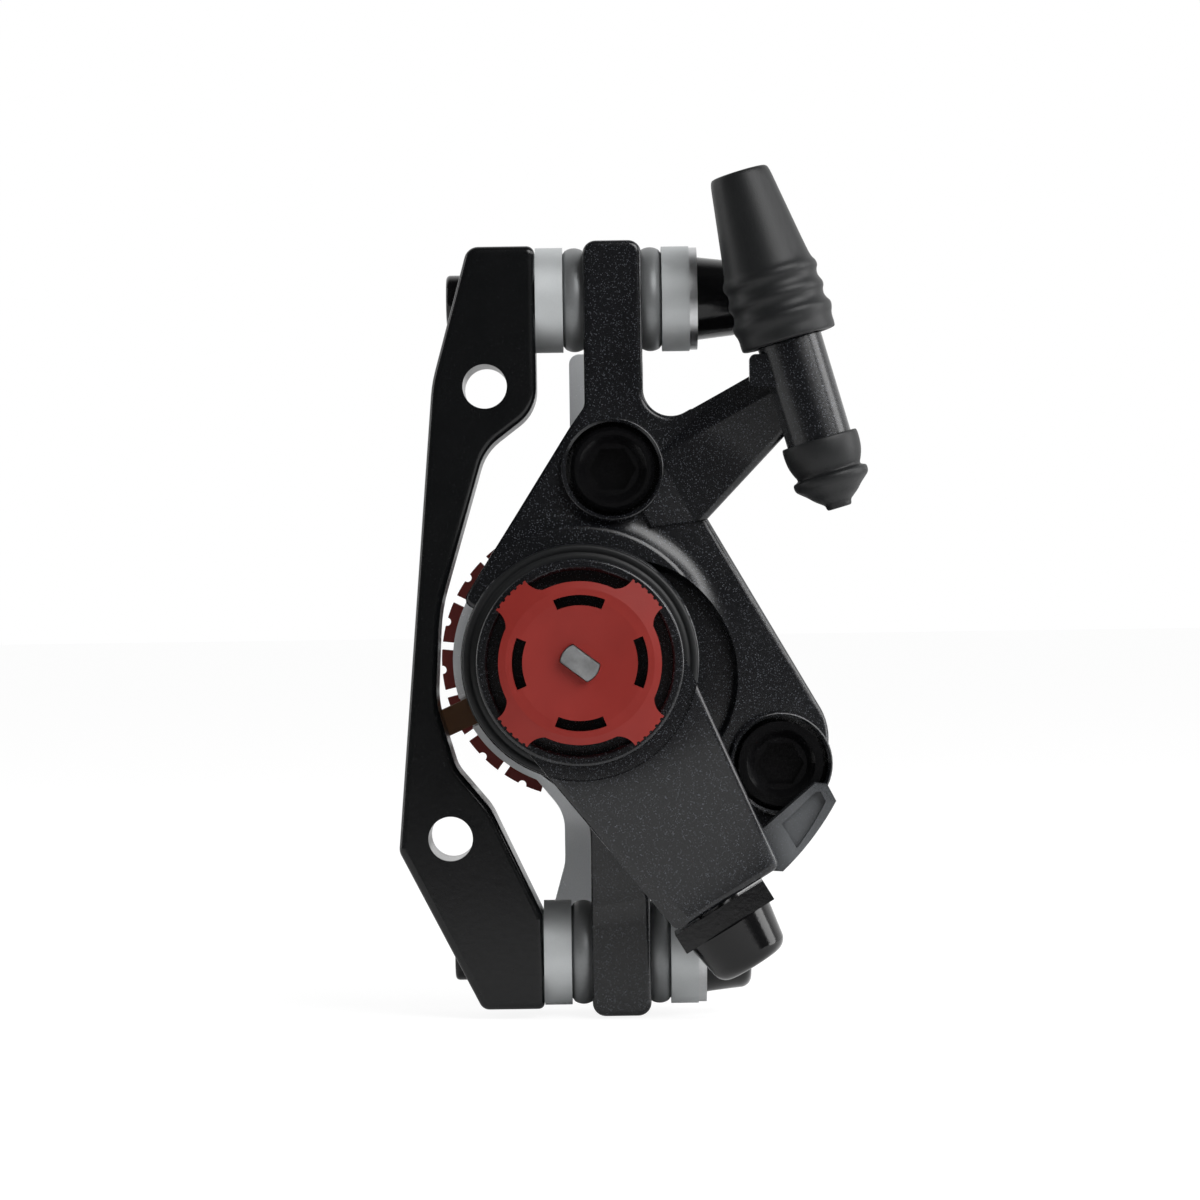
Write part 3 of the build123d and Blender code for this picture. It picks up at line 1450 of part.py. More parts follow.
# Lower boot: a cup on the sleeve's end, a neck, a ridge and a nipple for the inner cable
with BuildPart() as lower_boot:
    with BuildSketch(stop_section()):
        with BuildLine():
            cup_inner = sleeve_radius + face_gap
            cup_bottom = nipple_cup_top + nipple_cup_length
            neck_bottom = cup_bottom + nipple_neck_length
            ridge_bottom = neck_bottom + nipple_ridge_length
            dome_bottom = ridge_bottom + nipple_dome_length
            tip_bottom = nipple_cup_top + nipple_length
            Polyline(
                (cup_inner, -nipple_cup_top),
                (nipple_cup_radius, -nipple_cup_top),
                (nipple_cup_radius, -cup_bottom),
                (nipple_neck_radius, -neck_bottom),
                (nipple_ridge_radius, -neck_bottom),
                (nipple_ridge_radius, -ridge_bottom),
                (nipple_shoulder_radius, -dome_bottom),
                (nipple_tip_radius, -tip_bottom),
                (nipple_bore_radius, -tip_bottom),
                (nipple_bore_radius, -sleeve_length - face_gap),
                (cup_inner, -sleeve_length - face_gap),
                close=True,
            )
        make_face()
    revolve(axis=stop_axis())
lower_boot.part.label = "lower_boot"

pieces = [
    adapter_bracket,
    outer_housing,
    inner_housing,
    body_bolts,
    mount_bolts,
    flat_washers,
    cup_washers,
    ball_washers,
    actuator_arm,
    arm_nut,
    cable_plate,
    pinch_bolt,
    dust_seal,
    return_spring,
    thrust_washer,
    drive_cam,
    ball_cage,
    ramp_balls,
    driven_cam,
    foot_screw,
    outer_foot,
    outer_backing_plate,
    outer_friction_pad,
    inner_backing_plate,
    inner_friction_pad,
    inner_foot,
    inner_screw,
    pad_spring,
    outer_knob,
    inner_knob,
    barrel_adjuster,
    upper_boot,
    lower_boot,
]
for piece in pieces:
    export_step(piece.part, f"parts/{piece.part.label}.step")
    print(piece.part.label, round(piece.part.volume, 1))
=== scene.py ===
# %% [markdown]
# # A bicycle disc brake caliper, dressed for its portrait
# The solids of this caliper were drawn in a CAD program and packed with their
# joints. This lesson loads them as a fixed frame and gives them what a solid
# cannot have: paint with a sparkle in it, turned and blasted metal, moulded red
# plastic and soft rubber. Every length below is in metres, in the same frame as
# the solids, so a new piece goes exactly where the drawing says.

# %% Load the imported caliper
import bpy
import bmesh
import json
import math
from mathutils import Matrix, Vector


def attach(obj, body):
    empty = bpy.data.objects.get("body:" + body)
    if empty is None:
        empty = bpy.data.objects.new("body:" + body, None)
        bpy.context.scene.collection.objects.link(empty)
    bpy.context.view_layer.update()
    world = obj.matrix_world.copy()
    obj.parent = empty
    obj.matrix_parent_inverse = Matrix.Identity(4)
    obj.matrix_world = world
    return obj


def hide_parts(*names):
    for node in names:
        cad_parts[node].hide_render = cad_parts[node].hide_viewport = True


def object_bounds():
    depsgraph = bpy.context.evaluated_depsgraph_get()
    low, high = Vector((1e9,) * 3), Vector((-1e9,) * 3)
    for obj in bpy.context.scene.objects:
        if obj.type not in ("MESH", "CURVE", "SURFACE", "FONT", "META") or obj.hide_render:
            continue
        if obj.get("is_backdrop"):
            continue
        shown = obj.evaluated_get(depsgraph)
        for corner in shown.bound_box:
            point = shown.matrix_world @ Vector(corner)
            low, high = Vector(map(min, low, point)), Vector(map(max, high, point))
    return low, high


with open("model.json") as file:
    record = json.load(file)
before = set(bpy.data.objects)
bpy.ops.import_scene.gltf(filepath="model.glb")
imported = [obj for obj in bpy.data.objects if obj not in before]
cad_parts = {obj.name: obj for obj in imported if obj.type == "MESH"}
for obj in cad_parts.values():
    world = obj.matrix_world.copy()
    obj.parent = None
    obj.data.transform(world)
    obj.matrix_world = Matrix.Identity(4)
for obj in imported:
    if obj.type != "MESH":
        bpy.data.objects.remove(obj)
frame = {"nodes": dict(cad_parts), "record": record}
cad_low, cad_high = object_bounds()
nodes = frame["nodes"]
scene = bpy.context.scene
scene.view_settings.view_transform = "Standard"
MM = 0.001
cad_sides = [round((high - low) / MM, 1) for low, high in zip(cad_low, cad_high)]
print("nodes:", len(nodes), "box in mm:", cad_sides)

# %% [markdown]
# ## The camera
# The caliper was photographed square on from its outboard side. Matching the
# round knob, the two posts and the bracket's holes gave the distance and a very
# small roll. A long lens keeps the near knob from growing against the far
# housing, which is what makes a product picture look calm.

# %% Place the camera
CAMERA_DISTANCE = 550 * MM
CAMERA_X = 14.895 * MM
CAMERA_Z = 1.217 * MM
CAMERA_LEVEL = math.radians(90)
CAMERA_ROLL = math.radians(0.81)
PIXELS_PER_METRE = 8900.0
PICTURE_WIDTH = 1200
SENSOR_WIDTH = 36.0  # Blender counts a sensor and its lens in mm

seen_width = PICTURE_WIDTH / PIXELS_PER_METRE
camera = bpy.data.objects.new("portrait_camera", bpy.data.cameras.new("portrait_camera"))
camera.data.lens = SENSOR_WIDTH * CAMERA_DISTANCE / seen_width
camera.data.sensor_width = SENSOR_WIDTH
camera.location = (CAMERA_X, -CAMERA_DISTANCE, CAMERA_Z)
camera.rotation_euler = (CAMERA_LEVEL, CAMERA_ROLL, 0)
scene.collection.objects.link(camera)
scene.camera = camera
print("lens in mm:", round(camera.data.lens, 2))

# %% [markdown]
# ## A small language for shaders
# Node trees are hard to read when each wire is laid by hand. This class wraps
# one output, so that adding, multiplying or comparing two values in Python adds
# the Math node that does it. Each operator has its reflected form beside it, so
# that a plain number may stand on either side.

# %% Wrap one wire
class Wire:
    """One output of a node; Python's arithmetic on it adds Math nodes."""

    def __init__(self, home, socket):
        self.home = home
        self.socket = socket

    def reckon(self, operation, *values):
        return self.home.node("ShaderNodeMath", {"operation": operation}, dict(enumerate(values)))

    def __add__(self, other):
        return self.reckon("ADD", self, other)

    def __radd__(self, other):
        return self.reckon("ADD", other, self)

    def __sub__(self, other):
        return self.reckon("SUBTRACT", self, other)

    def __rsub__(self, other):
        return self.reckon("SUBTRACT", other, self)

    def __mul__(self, other):
        return self.reckon("MULTIPLY", self, other)

    def __rmul__(self, other):
        return self.reckon("MULTIPLY", other, self)

    def __gt__(self, other):
        return self.reckon("GREATER_THAN", self, other)

    def __lt__(self, other):
        return self.reckon("LESS_THAN", self, other)


print("wires ready")

# %% [markdown]
# ## One method for any node
# The world and every material are node trees, so both get the same method. It
# takes a node's type, its settings, and the values or wires of its sockets.

# %% Grow a tree
class Tree:
    """One node tree, and the method that adds any node to it."""

    def __init__(self, tree):
        self.tree = tree

    def node(self, kind, settings, inputs, output=0):
        made = self.tree.nodes.new(kind)
        for key, value in settings.items():
            setattr(made, key, value)
        for key, value in inputs.items():
            self.feed(made.inputs[key], value)
        return Wire(self, made.outputs[output])

    def feed(self, socket, value):
        if isinstance(value, Wire):
            self.tree.links.new(value.socket, socket)
        else:
            socket.default_value = value

    def between(self, value, low, high, kind="LINEAR"):
        """Nought up to the low value, one from the high value on."""
        inputs = {"Value": value, "From Min": low, "From Max": high}
        return self.node("ShaderNodeMapRange", {"interpolation_type": kind}, inputs, "Result")


print("trees ready")

# %% [markdown]
# ## The backdrop
# Dark satin paint shows its form only through what it mirrors. The photograph
# was lit by a broad soft panel, high on the right, with a dark room behind the
# camera and a white backdrop behind the caliper. So the world is white to the
# camera, grey to matt surfaces, and to mirroring ones it is white behind the
# caliper and dim in front of it, which draws the pale rims.

# %% Make a plain pale world
WHITE = (1, 1, 1, 1)
BACKGROUND_WHITE = 1.0
SKY_LEVEL = 0.44
ROOM_LEVEL = 0.06
BACKDROP_FROM = 0.05
BACKDROP_FULL = 0.60

world = bpy.data.worlds.new("studio")
scene.world = world
world.use_nodes = True
world.node_tree.nodes.clear()
sky = Tree(world.node_tree)


def lit_background(level):
    return sky.node("ShaderNodeBackground", {}, {"Color": WHITE, "Strength": level})


def ray(kind):
    return sky.node("ShaderNodeLightPath", {}, {}, kind)


def choose(factor, no, yes):
    return sky.node("ShaderNodeMixShader", {}, {0: factor, 1: no, 2: yes})


direction = sky.node("ShaderNodeTexCoord", {}, {}, "Generated")
away = sky.node("ShaderNodeSeparateXYZ", {}, {"Vector": direction}, "Y")
backdrop_share = sky.between(away, BACKDROP_FROM, BACKDROP_FULL, "SMOOTHSTEP")
white = lit_background(BACKGROUND_WHITE)
mirrored = choose(backdrop_share, lit_background(ROOM_LEVEL), white)
soft = choose(ray("Is Glossy Ray"), lit_background(SKY_LEVEL), mirrored)
clear = choose(ray("Is Transmission Ray"), soft, white)
seen = choose(ray("Is Camera Ray"), clear, white)
world_output = sky.tree.nodes.new("ShaderNodeOutputWorld")
sky.feed(world_output.inputs["Surface"], seen)
print("world ready, nodes:", len(sky.tree.nodes))

# %% [markdown]
# ## The lamps
# A broad panel in front on the right gives the sheen between the upper bolt and
# the hub. A second one to the right lights the edges there, and a thin weak
# strip on the left keeps the bracket's edge from being lost.

# %% Hang the soft lamps
LAMPS = {
    # name: (place, width and height in metres, watts)
    "key_panel": ((0.42, -0.42, 0.42), 0.56, 0.44, 5.2),
    "right_panel": ((0.68, 0.00, 0.12), 0.30, 0.60, 3.0),
    "left_strip": ((-0.60, 0.10, 0.08), 0.12, 0.60, 0.9),
}
target = (cad_low + cad_high) / 2
for name, (place, width, height, watts) in LAMPS.items():
    panel = bpy.data.lights.new(name, "AREA")
    panel.shape = "RECTANGLE"
    panel.size = width
    panel.size_y = height
    panel.energy = watts
    lamp = bpy.data.objects.new(name, panel)
    lamp.location = place
    lamp.rotation_euler = (target - Vector(place)).to_track_quat("-Z", "Y").to_euler()
    scene.collection.objects.link(lamp)
print("lamps:", list(LAMPS))

# %% [markdown]
# ## Colours as a camera writes them
# A colour read from a picture is a number from 0 to 255 on the usual display
# curve. Blender reckons with light itself, so the curve is undone first.

# %% Undo the display curve
FULL = 255
CURVE_KNEE = 0.04045
CURVE_SLOPE = 12.92
CURVE_OFFSET = 0.055
CURVE_POWER = 2.4


def light(value):
    value = value / FULL
    if value <= CURVE_KNEE:
        return value / CURVE_SLOPE
    return ((value + CURVE_OFFSET) / (1 + CURVE_OFFSET)) ** CURVE_POWER


def shade(red, green, blue):
    return (light(red), light(green), light(blue), 1.0)


print("middle grey as light:", round(light(FULL / 2), 3))

# %% [markdown]
# ## One finish
# A finish is a tree with a material, a shader and the few textures that every
# finish here needs: a slow cloud, cells with a random number each, and a relief
# that tips the normal. Turned rings and the casting's curve both run round the
# hub's axis, so the distance from that axis is here too.

# %% Hold one finish
HUB = Vector((12.6 * MM, 0.0, -5.68 * MM))
ACROSS_HUB = (1, 0, 1)
CLOUD_DETAIL = 3.0
MIX_FACTOR = 0
MIX_FIRST = 6
MIX_SECOND = 7
MIX_COLOUR = 2


class Finish(Tree):
    """One material, with the textures that grow from it."""

    def __init__(self, name, **constants):
        self.material = bpy.data.materials.new(name)
        self.material.use_nodes = True
        super().__init__(self.material.node_tree)
        self.shader = self.tree.nodes["Principled BSDF"]
        self.wear(**constants)
        self.place = self.node("ShaderNodeTexCoord", {}, {}, "Object")

    def socket(self, name):
        """The shader's socket for a plain name such as specular_ior_level."""
        return self.shader.inputs[name.replace("_", " ").title().replace("Ior", "IOR")]

    def wear(self, **values):
        for name, value in values.items():
            self.feed(self.socket(name), value)

    def worn(self, name):
        """The wire that has fed one of the shader's sockets so far."""
        return Wire(self, self.socket(name).links[0].from_socket)

    def cloud(self, size, detail=CLOUD_DETAIL):
        inputs = {"Vector": self.place, "Scale": 1 / size, "Detail": detail}
        return self.node("ShaderNodeTexNoise", {}, inputs, "Fac")

    def grains(self, size):
        """One random number for each cell."""
        cell = self.node("ShaderNodeTexVoronoi", {}, {"Vector": self.place, "Scale": 1 / size}, "Color")
        return self.node("ShaderNodeSeparateColor", {}, {"Color": cell}, "Red")

    def vector(self, operation, first, second, output=0):
        return self.node("ShaderNodeVectorMath", {"operation": operation}, {0: first, 1: second}, output)

    def from_hub(self):
        """The distance from the hub's axis."""
        arm = self.vector("SUBTRACT", self.place, tuple(HUB))
        across = self.vector("MULTIPLY", arm, ACROSS_HUB)
        return self.node("ShaderNodeVectorMath", {"operation": "LENGTH"}, {0: across}, "Value")

    def blend(self, factor, first, second):
        inputs = {MIX_FACTOR: factor, MIX_FIRST: first, MIX_SECOND: second}
        return self.node("ShaderNodeMix", {"data_type": "RGBA"}, inputs, MIX_COLOUR)

    def relief(self, height, depth, strength=1.0, under=None):
        inputs = {"Height": height, "Distance": depth, "Strength": strength}
        if under:
            inputs["Normal"] = under
        return self.node("ShaderNodeBump", {}, inputs, "Normal")


finishes = {}
print("finish class ready")

# %% [markdown]
# ## A painted highlight and the curve of the castings
# The arm's guide fin carries a painted highlight: its paint gets paler in a ball
# round the fin's middle. The real castings also fall away from the hub in
# one slow curve, where the solids are flat. The distance from the hub, taken as
# a height, tips the normal in the same way and spreads the key panel's sheen.

# %% Place the wear and the curve
FIN_MIDDLE = (39.0 * MM, -8.0 * MM, -25.0 * MM)
FIN_REACH = 7.5 * MM
FIN_CORE = FIN_REACH / 2
FALL_FROM = 12.0 * MM
FALL_TO = 30.0 * MM
FALL_DEPTH = 2.4 * MM


def fin_highlight(paint):
    """Share of the painted highlight: one in the middle of the arm's cable fin, nought elsewhere."""
    reach = paint.vector("DISTANCE", paint.place, FIN_MIDDLE, "Value")
    return 1 - paint.between(reach, FIN_CORE, FIN_REACH)


def crowned(paint, skin):
    """Adds the casting's slow curve, a fall away from the hub on all sides."""
    height = 1 - paint.between(paint.from_hub(), FALL_FROM, FALL_TO, "SMOOTHSTEP")
    return paint.relief(height, FALL_DEPTH, under=skin)


print("the castings fall away from the hub by", round(FALL_DEPTH / MM, 1), "mm")

# %% [markdown]
# ## Charcoal metallic paint
# The two halves of the body and the arm are cast aluminium under a charcoal
# paint with fine metal flakes in it. Each flake lies at its own tilt, so a few
# flash while the rest stay dark. A cell texture gives each flake one random
# number. It tips the normal and lifts the colour of the brightest. A slow cloud
# keeps wide faces from looking printed, and a thin clear coat lies over it.

# %% Mix the charcoal paint
FLAKE = 0.10 * MM
FLASH_FROM = 0.90
FLASH_COLOUR = 0.4
FLASH_METAL = 0.5
FLAKE_RELIEF = 0.006 * MM
FLAKE_STRENGTH = 0.5
FLAKE_BRIGHT = shade(120, 124, 132)
PAINT_DARK = shade(8, 9, 11)
PAINT_LIGHT = shade(15, 16, 19)
PAINT_CLOUD = 6 * MM
PAINT_SKIN = 0.6 * MM
PAINT_SKIN_DETAIL = 2.0
PAINT_SKIN_RELIEF = 0.010 * MM
PAINT_SKIN_STRENGTH = 0.3
PAINT_SPECULAR = 0.45
PAINT_ROUGH = 0.20
ROUGH_BY_CLOUD = 0.06
ROUGH_BY_FLAKE = 0.04
ROUGH_BY_HIGHLIGHT = 0.2
COAT_ROUGH = 0.12
COAT_SHARE = 0.10
# A pale grey painted highlight on the arm's cable fin, stronger where the slow cloud is high.
FIN_HIGHLIGHT = shade(128, 131, 134)
FIN_HIGHLIGHT_LEAST = 0.10
FIN_HIGHLIGHT_CLOUD = 0.40


def charcoal(name):
    paint = Finish(name, specular_ior_level=PAINT_SPECULAR, coat_roughness=COAT_ROUGH, coat_weight=COAT_SHARE)
    flake = paint.grains(FLAKE)
    flash = paint.between(flake, FLASH_FROM, 1.0)
    drift = paint.cloud(PAINT_CLOUD)
    skin = paint.cloud(PAINT_SKIN, PAINT_SKIN_DETAIL)
    # Painted highlight: round the fin's middle the body colour turns pale grey, and a little rougher.
    painted_highlight = fin_highlight(paint) * (FIN_HIGHLIGHT_LEAST + drift * FIN_HIGHLIGHT_CLOUD)
    body = paint.blend(painted_highlight, paint.blend(drift, PAINT_DARK, PAINT_LIGHT), FIN_HIGHLIGHT)
    curved = crowned(paint, paint.relief(skin, PAINT_SKIN_RELIEF, PAINT_SKIN_STRENGTH))
    paint.wear(
        base_color=paint.blend(flash * FLASH_COLOUR, body, FLAKE_BRIGHT),
        metallic=flash * FLASH_METAL,
        roughness=PAINT_ROUGH + drift * ROUGH_BY_CLOUD + flake * ROUGH_BY_FLAKE + painted_highlight * ROUGH_BY_HIGHLIGHT,
        normal=paint.relief(flake, FLAKE_RELIEF, FLAKE_STRENGTH, curved),
    )
    return paint


finishes["housing_charcoal"] = charcoal("charcoal paint")
print("charcoal paint: one flake is", round(FLAKE / MM, 2), "mm")

# %% [markdown]
# ## The bare parting face
# The inboard half was painted before its parting face was milled, and the face
# was then blasted. Where the outboard half is smaller, a strip of it shows as
# pale bare aluminium. It is the same paint, turned pale wherever the surface
# looks straight outboard at the parting plane or behind it.

# %% Bare the face of the inboard half
PARTING_DEPTH = 22.2 * MM
BARE_METAL = shade(238, 240, 242)
BARE_SHADOW = shade(212, 215, 218)
BARE_METALLIC = 0.2
STRAIGHT_FROM = 0.9
STRAIGHT_FULL = 0.95
GRIT = 0.12 * MM
GRIT_DETAIL = 4.0

halves = charcoal("charcoal paint with bare face")
depth = halves.node("ShaderNodeSeparateXYZ", {}, {"Vector": halves.place}, "Y")
normal = halves.node("ShaderNodeTexCoord", {}, {}, "Normal")
inboard = halves.node("ShaderNodeSeparateXYZ", {}, {"Vector": normal}, "Y")
bare = (depth > PARTING_DEPTH) * halves.between(0 - inboard, STRAIGHT_FROM, STRAIGHT_FULL)
blasted = halves.blend(halves.cloud(GRIT, GRIT_DETAIL), BARE_SHADOW, BARE_METAL)
halves.wear(
    base_color=halves.blend(bare, halves.worn("base_color"), blasted),
    metallic=bare * BARE_METALLIC,
)
finishes["housing_inner"] = halves
print("bare face at", round(PARTING_DEPTH / MM, 2), "mm")

# %% [markdown]
# ## Semi-gloss black paint
# The bracket is a flat plate under smoother, blacker paint. It mirrors more
# than the body does, and a very shallow orange peel breaks up its reflections.
# The bolts have a still smoother black coating. Both carry a little pale dust.

# %% Mix the blacks
BLACK_SPECULAR = 0.3
BLACK_CLOUD = 5 * MM
PEEL_DETAIL = 1.0
PEEL_RELIEF = 0.02 * MM
PEEL_STRENGTH = 0.4
BLACK_ROUGH_BY_CLOUD = 0.08
DUST = 0.25 * MM
DUST_DETAIL = 5.0
DUST_FROM = 0.62
DUST_FULL = 0.75
DUST_SHARE = 0.08
DUST_ROUGH = 0.10
DUST_COLOUR = shade(70, 72, 74)
BLACKS = {
    "bracket_black": {
        "name": "bracket paint", "dark": (7, 8, 9), "light": (12, 13, 14),
        "rough": 0.20, "peel": 0.8 * MM,
    },
    "bolt_black": {
        "name": "bolt coating", "dark": (7, 7, 8), "light": (12, 12, 13),
        "rough": 0.12, "peel": 0.5 * MM,
    },
}


def black_paint(name, dark, light, rough, peel):
    paint = Finish(name, coat_roughness=COAT_ROUGH, coat_weight=COAT_SHARE, specular_ior_level=BLACK_SPECULAR)
    drift = paint.cloud(BLACK_CLOUD)
    skin = paint.cloud(peel, PEEL_DETAIL)
    dust = paint.between(paint.cloud(DUST, DUST_DETAIL), DUST_FROM, DUST_FULL)
    colour = paint.blend(drift, shade(*dark), shade(*light))
    paint.wear(
        base_color=paint.blend(dust * DUST_SHARE, colour, DUST_COLOUR),
        roughness=rough + drift * BLACK_ROUGH_BY_CLOUD + dust * DUST_ROUGH,
        normal=paint.relief(skin, PEEL_RELIEF, PEEL_STRENGTH),
    )
    return paint


for slot_name, recipe in BLACKS.items():
    finishes[slot_name] = black_paint(**recipe)
print("blacks:", list(BLACKS))

# %% [markdown]
# ## Turned, blasted and drawn metal
# The washers, screws and springs are bare metal. Turning leaves fine rings,
# blasting leaves an even grain, and drawing leaves fine marks along the wire.
# Here every metal gets a grain, and the turned ones also get rings, which run
# round the hub's axis. One function makes them all, from two colours, a grain
# size and, for turned metal, the spacing of the rings.

# %% Make the metals
METAL_CLOUD = 3 * MM
PIT_DETAIL = 4.0
PIT_ROUGH = 0.16
METAL_RELIEF = 0.01 * MM
METAL_STRENGTH = 0.6
RING_SHARE = 0.4
METAL_BY_CLOUD = 0.5
METAL_BY_PITS = 0.5
METALS = {
    "washer_silver": {
        "name": "blasted washer", "dark": (172, 175, 176), "light": (206, 209, 210),
        "rough": 0.46, "grain": 0.10 * MM, "metal": 0.55,
    },
    "washer_grey": {
        "name": "satin washer", "dark": (114, 116, 117), "light": (142, 144, 145),
        "rough": 0.38, "grain": 0.30 * MM, "metal": 0.6,
    },
    "steel": {
        "name": "turned steel", "dark": (168, 169, 170), "light": (214, 215, 216),
        "rough": 0.24, "grain": 0.30 * MM, "rings": 0.12 * MM,
    },
    "spring_steel": {
        "name": "drawn spring wire", "dark": (120, 121, 122), "light": (170, 171, 172),
        "rough": 0.30, "grain": 0.15 * MM,
    },
    "hard_steel": {
        "name": "ground hard steel", "dark": (110, 111, 113), "light": (158, 159, 161),
        "rough": 0.28, "grain": 0.20 * MM, "rings": 0.10 * MM,
    },
    "ball_steel": {
        "name": "polished ball", "dark": (190, 191, 193), "light": (214, 215, 217),
        "rough": 0.08, "grain": 1.0 * MM,
    },
    "barrel_black": {
        "name": "black anodised barrel", "dark": (28, 28, 30), "light": (44, 44, 46),
        "rough": 0.34, "grain": 0.20 * MM,
    },
}


def metal_finish(name, dark, light, rough, grain, rings=None, metal=1.0):
    finish = Finish(name, metallic=metal)
    drift = finish.cloud(METAL_CLOUD)
    pits = finish.cloud(grain, PIT_DETAIL)
    height = pits
    if rings:
        turn = finish.from_hub() * (math.tau / rings)
        height = pits + turn.reckon("SINE", turn) * RING_SHARE
    finish.wear(
        base_color=finish.blend(drift * METAL_BY_CLOUD + pits * METAL_BY_PITS, shade(*dark), shade(*light)),
        roughness=rough + pits * PIT_ROUGH,
        normal=finish.relief(height, METAL_RELIEF, METAL_STRENGTH),
    )
    return finish


for slot_name, recipe in METALS.items():
    finishes[slot_name] = metal_finish(**recipe)
print("metals:", list(METALS))

# %% [markdown]
# ## Moulded red plastic
# Both knobs are one red moulding. Light goes a short way into it, which softens
# its edges, and the mould leaves an almost invisible leather-like skin. The rear
# knob gets a darker, duller copy of the red, which is painted shade.

# %% Mould the red
RED_SPECULAR = 0.3
RED_INSIDE = 0.06
RED_INSIDE_REACH = 0.6 * MM
RED_FLOW = 4 * MM
RED_SKIN = 0.22 * MM
RED_RELIEF = 0.015 * MM
RED_STRENGTH = 0.5
RED_ROUGH = 0.36
RED_ROUGH_BY_FLOW = 0.08
RED_ROUGH_BY_SKIN = 0.08
REDS = {
    "red_plastic": {"name": "knob red", "deep": (114, 26, 20), "bright": (130, 34, 27)},
    # The rear knob's darker, duller red is painted shade on the same moulding.
    "red_plastic_deep": {"name": "rear knob red in painted shade", "deep": (96, 34, 30), "bright": (116, 44, 40)},
}


def red_plastic(name, deep, bright):
    finish = Finish(
        name,
        specular_ior_level=RED_SPECULAR,
        subsurface_weight=RED_INSIDE,
        subsurface_scale=RED_INSIDE_REACH,
    )
    flow = finish.cloud(RED_FLOW)
    skin = finish.cloud(RED_SKIN)
    finish.wear(
        base_color=finish.blend(flow, shade(*deep), shade(*bright)),
        roughness=RED_ROUGH + flow * RED_ROUGH_BY_FLOW + skin * RED_ROUGH_BY_SKIN,
        normal=finish.relief(skin, RED_RELIEF, RED_STRENGTH),
    )
    return finish


for slot_name, recipe in REDS.items():
    finishes[slot_name] = red_plastic(**recipe)
print("reds:", list(REDS))

# %% [markdown]
# ## Rubber, cage and backing plates
# The boots are matte rubber with a fine talc-like grain. The backing plates have
# a brown oxide coat, and the ball cage is a plain black moulding. All of them
# are dull, so one function makes them from two colours and a grain.

# %% Make the dull finishes
DULL_SPECULAR = 0.3
DULL_CLOUD = 4 * MM
DULL_ROUGH_BY_PITS = 0.12
DULL_STRENGTH = 0.6
DULL_BY_CLOUD = 0.6
DULL_BY_PITS = 0.4
DULL = {
    "rubber": {
        "name": "matte rubber", "dark": (18, 19, 20), "light": (27, 28, 29),
        "rough": 0.40, "grain": 0.14 * MM, "depth": 0.015 * MM,
    },
    "cage_plastic": {
        "name": "cage moulding", "dark": (34, 34, 35), "light": (48, 48, 49),
        "rough": 0.46, "grain": 0.3 * MM, "depth": 0.01 * MM,
    },
    "backing_brown": {
        "name": "brown oxide", "dark": (88, 58, 34), "light": (108, 74, 46),
        "rough": 0.44, "grain": 0.12 * MM, "depth": 0.02 * MM,
    },
    "friction": {
        "name": "pad compound", "dark": (66, 60, 54), "light": (92, 84, 76),
        "rough": 0.72, "grain": 0.10 * MM, "depth": 0.04 * MM,
    },
}


def dull_finish(name, dark, light, rough, grain, depth):
    finish = Finish(name, specular_ior_level=DULL_SPECULAR)
    drift = finish.cloud(DULL_CLOUD)
    pits = finish.cloud(grain, PIT_DETAIL)
    finish.wear(
        base_color=finish.blend(drift * DULL_BY_CLOUD + pits * DULL_BY_PITS, shade(*dark), shade(*light)),
        roughness=rough + pits * DULL_ROUGH_BY_PITS,
        normal=finish.relief(pits, depth, DULL_STRENGTH),
    )
    return finish


for slot_name, recipe in DULL.items():
    finishes[slot_name] = dull_finish(**recipe)
print("dull finishes:", list(DULL))

# %% [markdown]
# ## Copper in the pads
# The pads are a dark pressed compound with specks of copper in it. The cells of
# a cell texture with the highest random numbers become the specks.

# %% Scatter the specks
SPECK = 0.35 * MM
SPECK_FROM = 0.88
SPECK_FULL = 0.92
SPECK_METAL = 0.8
COPPER = shade(166, 116, 74)

pad = finishes["friction"]
speck = pad.between(pad.grains(SPECK), SPECK_FROM, SPECK_FULL)
pad.wear(
    base_color=pad.blend(speck, pad.worn("base_color"), COPPER),
    metallic=speck * SPECK_METAL,
)
print("finishes:", len(finishes))

# %% [markdown]
# ## Give every part its finish
# The record says which slot each named part takes. The finish goes into the
# part's own material slots, and its mesh is left alone.

# %% Assign the finishes
parts = frame["record"]["subparts"]
for part in parts:
    drawn = nodes[part["node"]]
    finish = finishes[part["material_slot"]].material
    if not drawn.data.materials:
        drawn.data.materials.append(finish)
    for slot in drawn.material_slots:
        slot.material = finish
print("dressed:", len(parts), "named parts")

# %% [markdown]
# ## Rounding a profile
# The boots and the dust seal are round rubber mouldings, and rubber has no sharp
# edge anywhere. So each profile is rounded before it is turned: every corner is
# cut a quarter of the way along its two sides, and the new corners again.

# %% Cut the corners
CORNER_ROUNDS = 2
CORNER_SHARE = 0.25


def rounded(points):
    """Takes a closed profile in mm, and gives it rounded and in metres."""
    points = [Vector(point) * MM for point in points]
    for _ in range(CORNER_ROUNDS):
        cut = []
        for here, after in zip(points, points[1:] + points[:1]):
            cut += [here.lerp(after, CORNER_SHARE), here.lerp(after, 1 - CORNER_SHARE)]
        points = cut
    return points


print("corners are cut", CORNER_ROUNDS, "times")

# %% [markdown]
# ## Turning a profile
# A turned piece is its closed profile carried round an axis. A small rule may
# change the radius round the axis, for a mould seam. The piece then rides on a
# body, names the slot of its finish and stands in for the plain solid.

# %% Turn a profile into a mesh
TURN_STEPS = 144
INBOARD = Vector((0, 1, 0))
RIGHT = Vector((1, 0, 0))
LEAST_SIDE = 0.1  # a shorter cross product means that the axis itself runs inboard


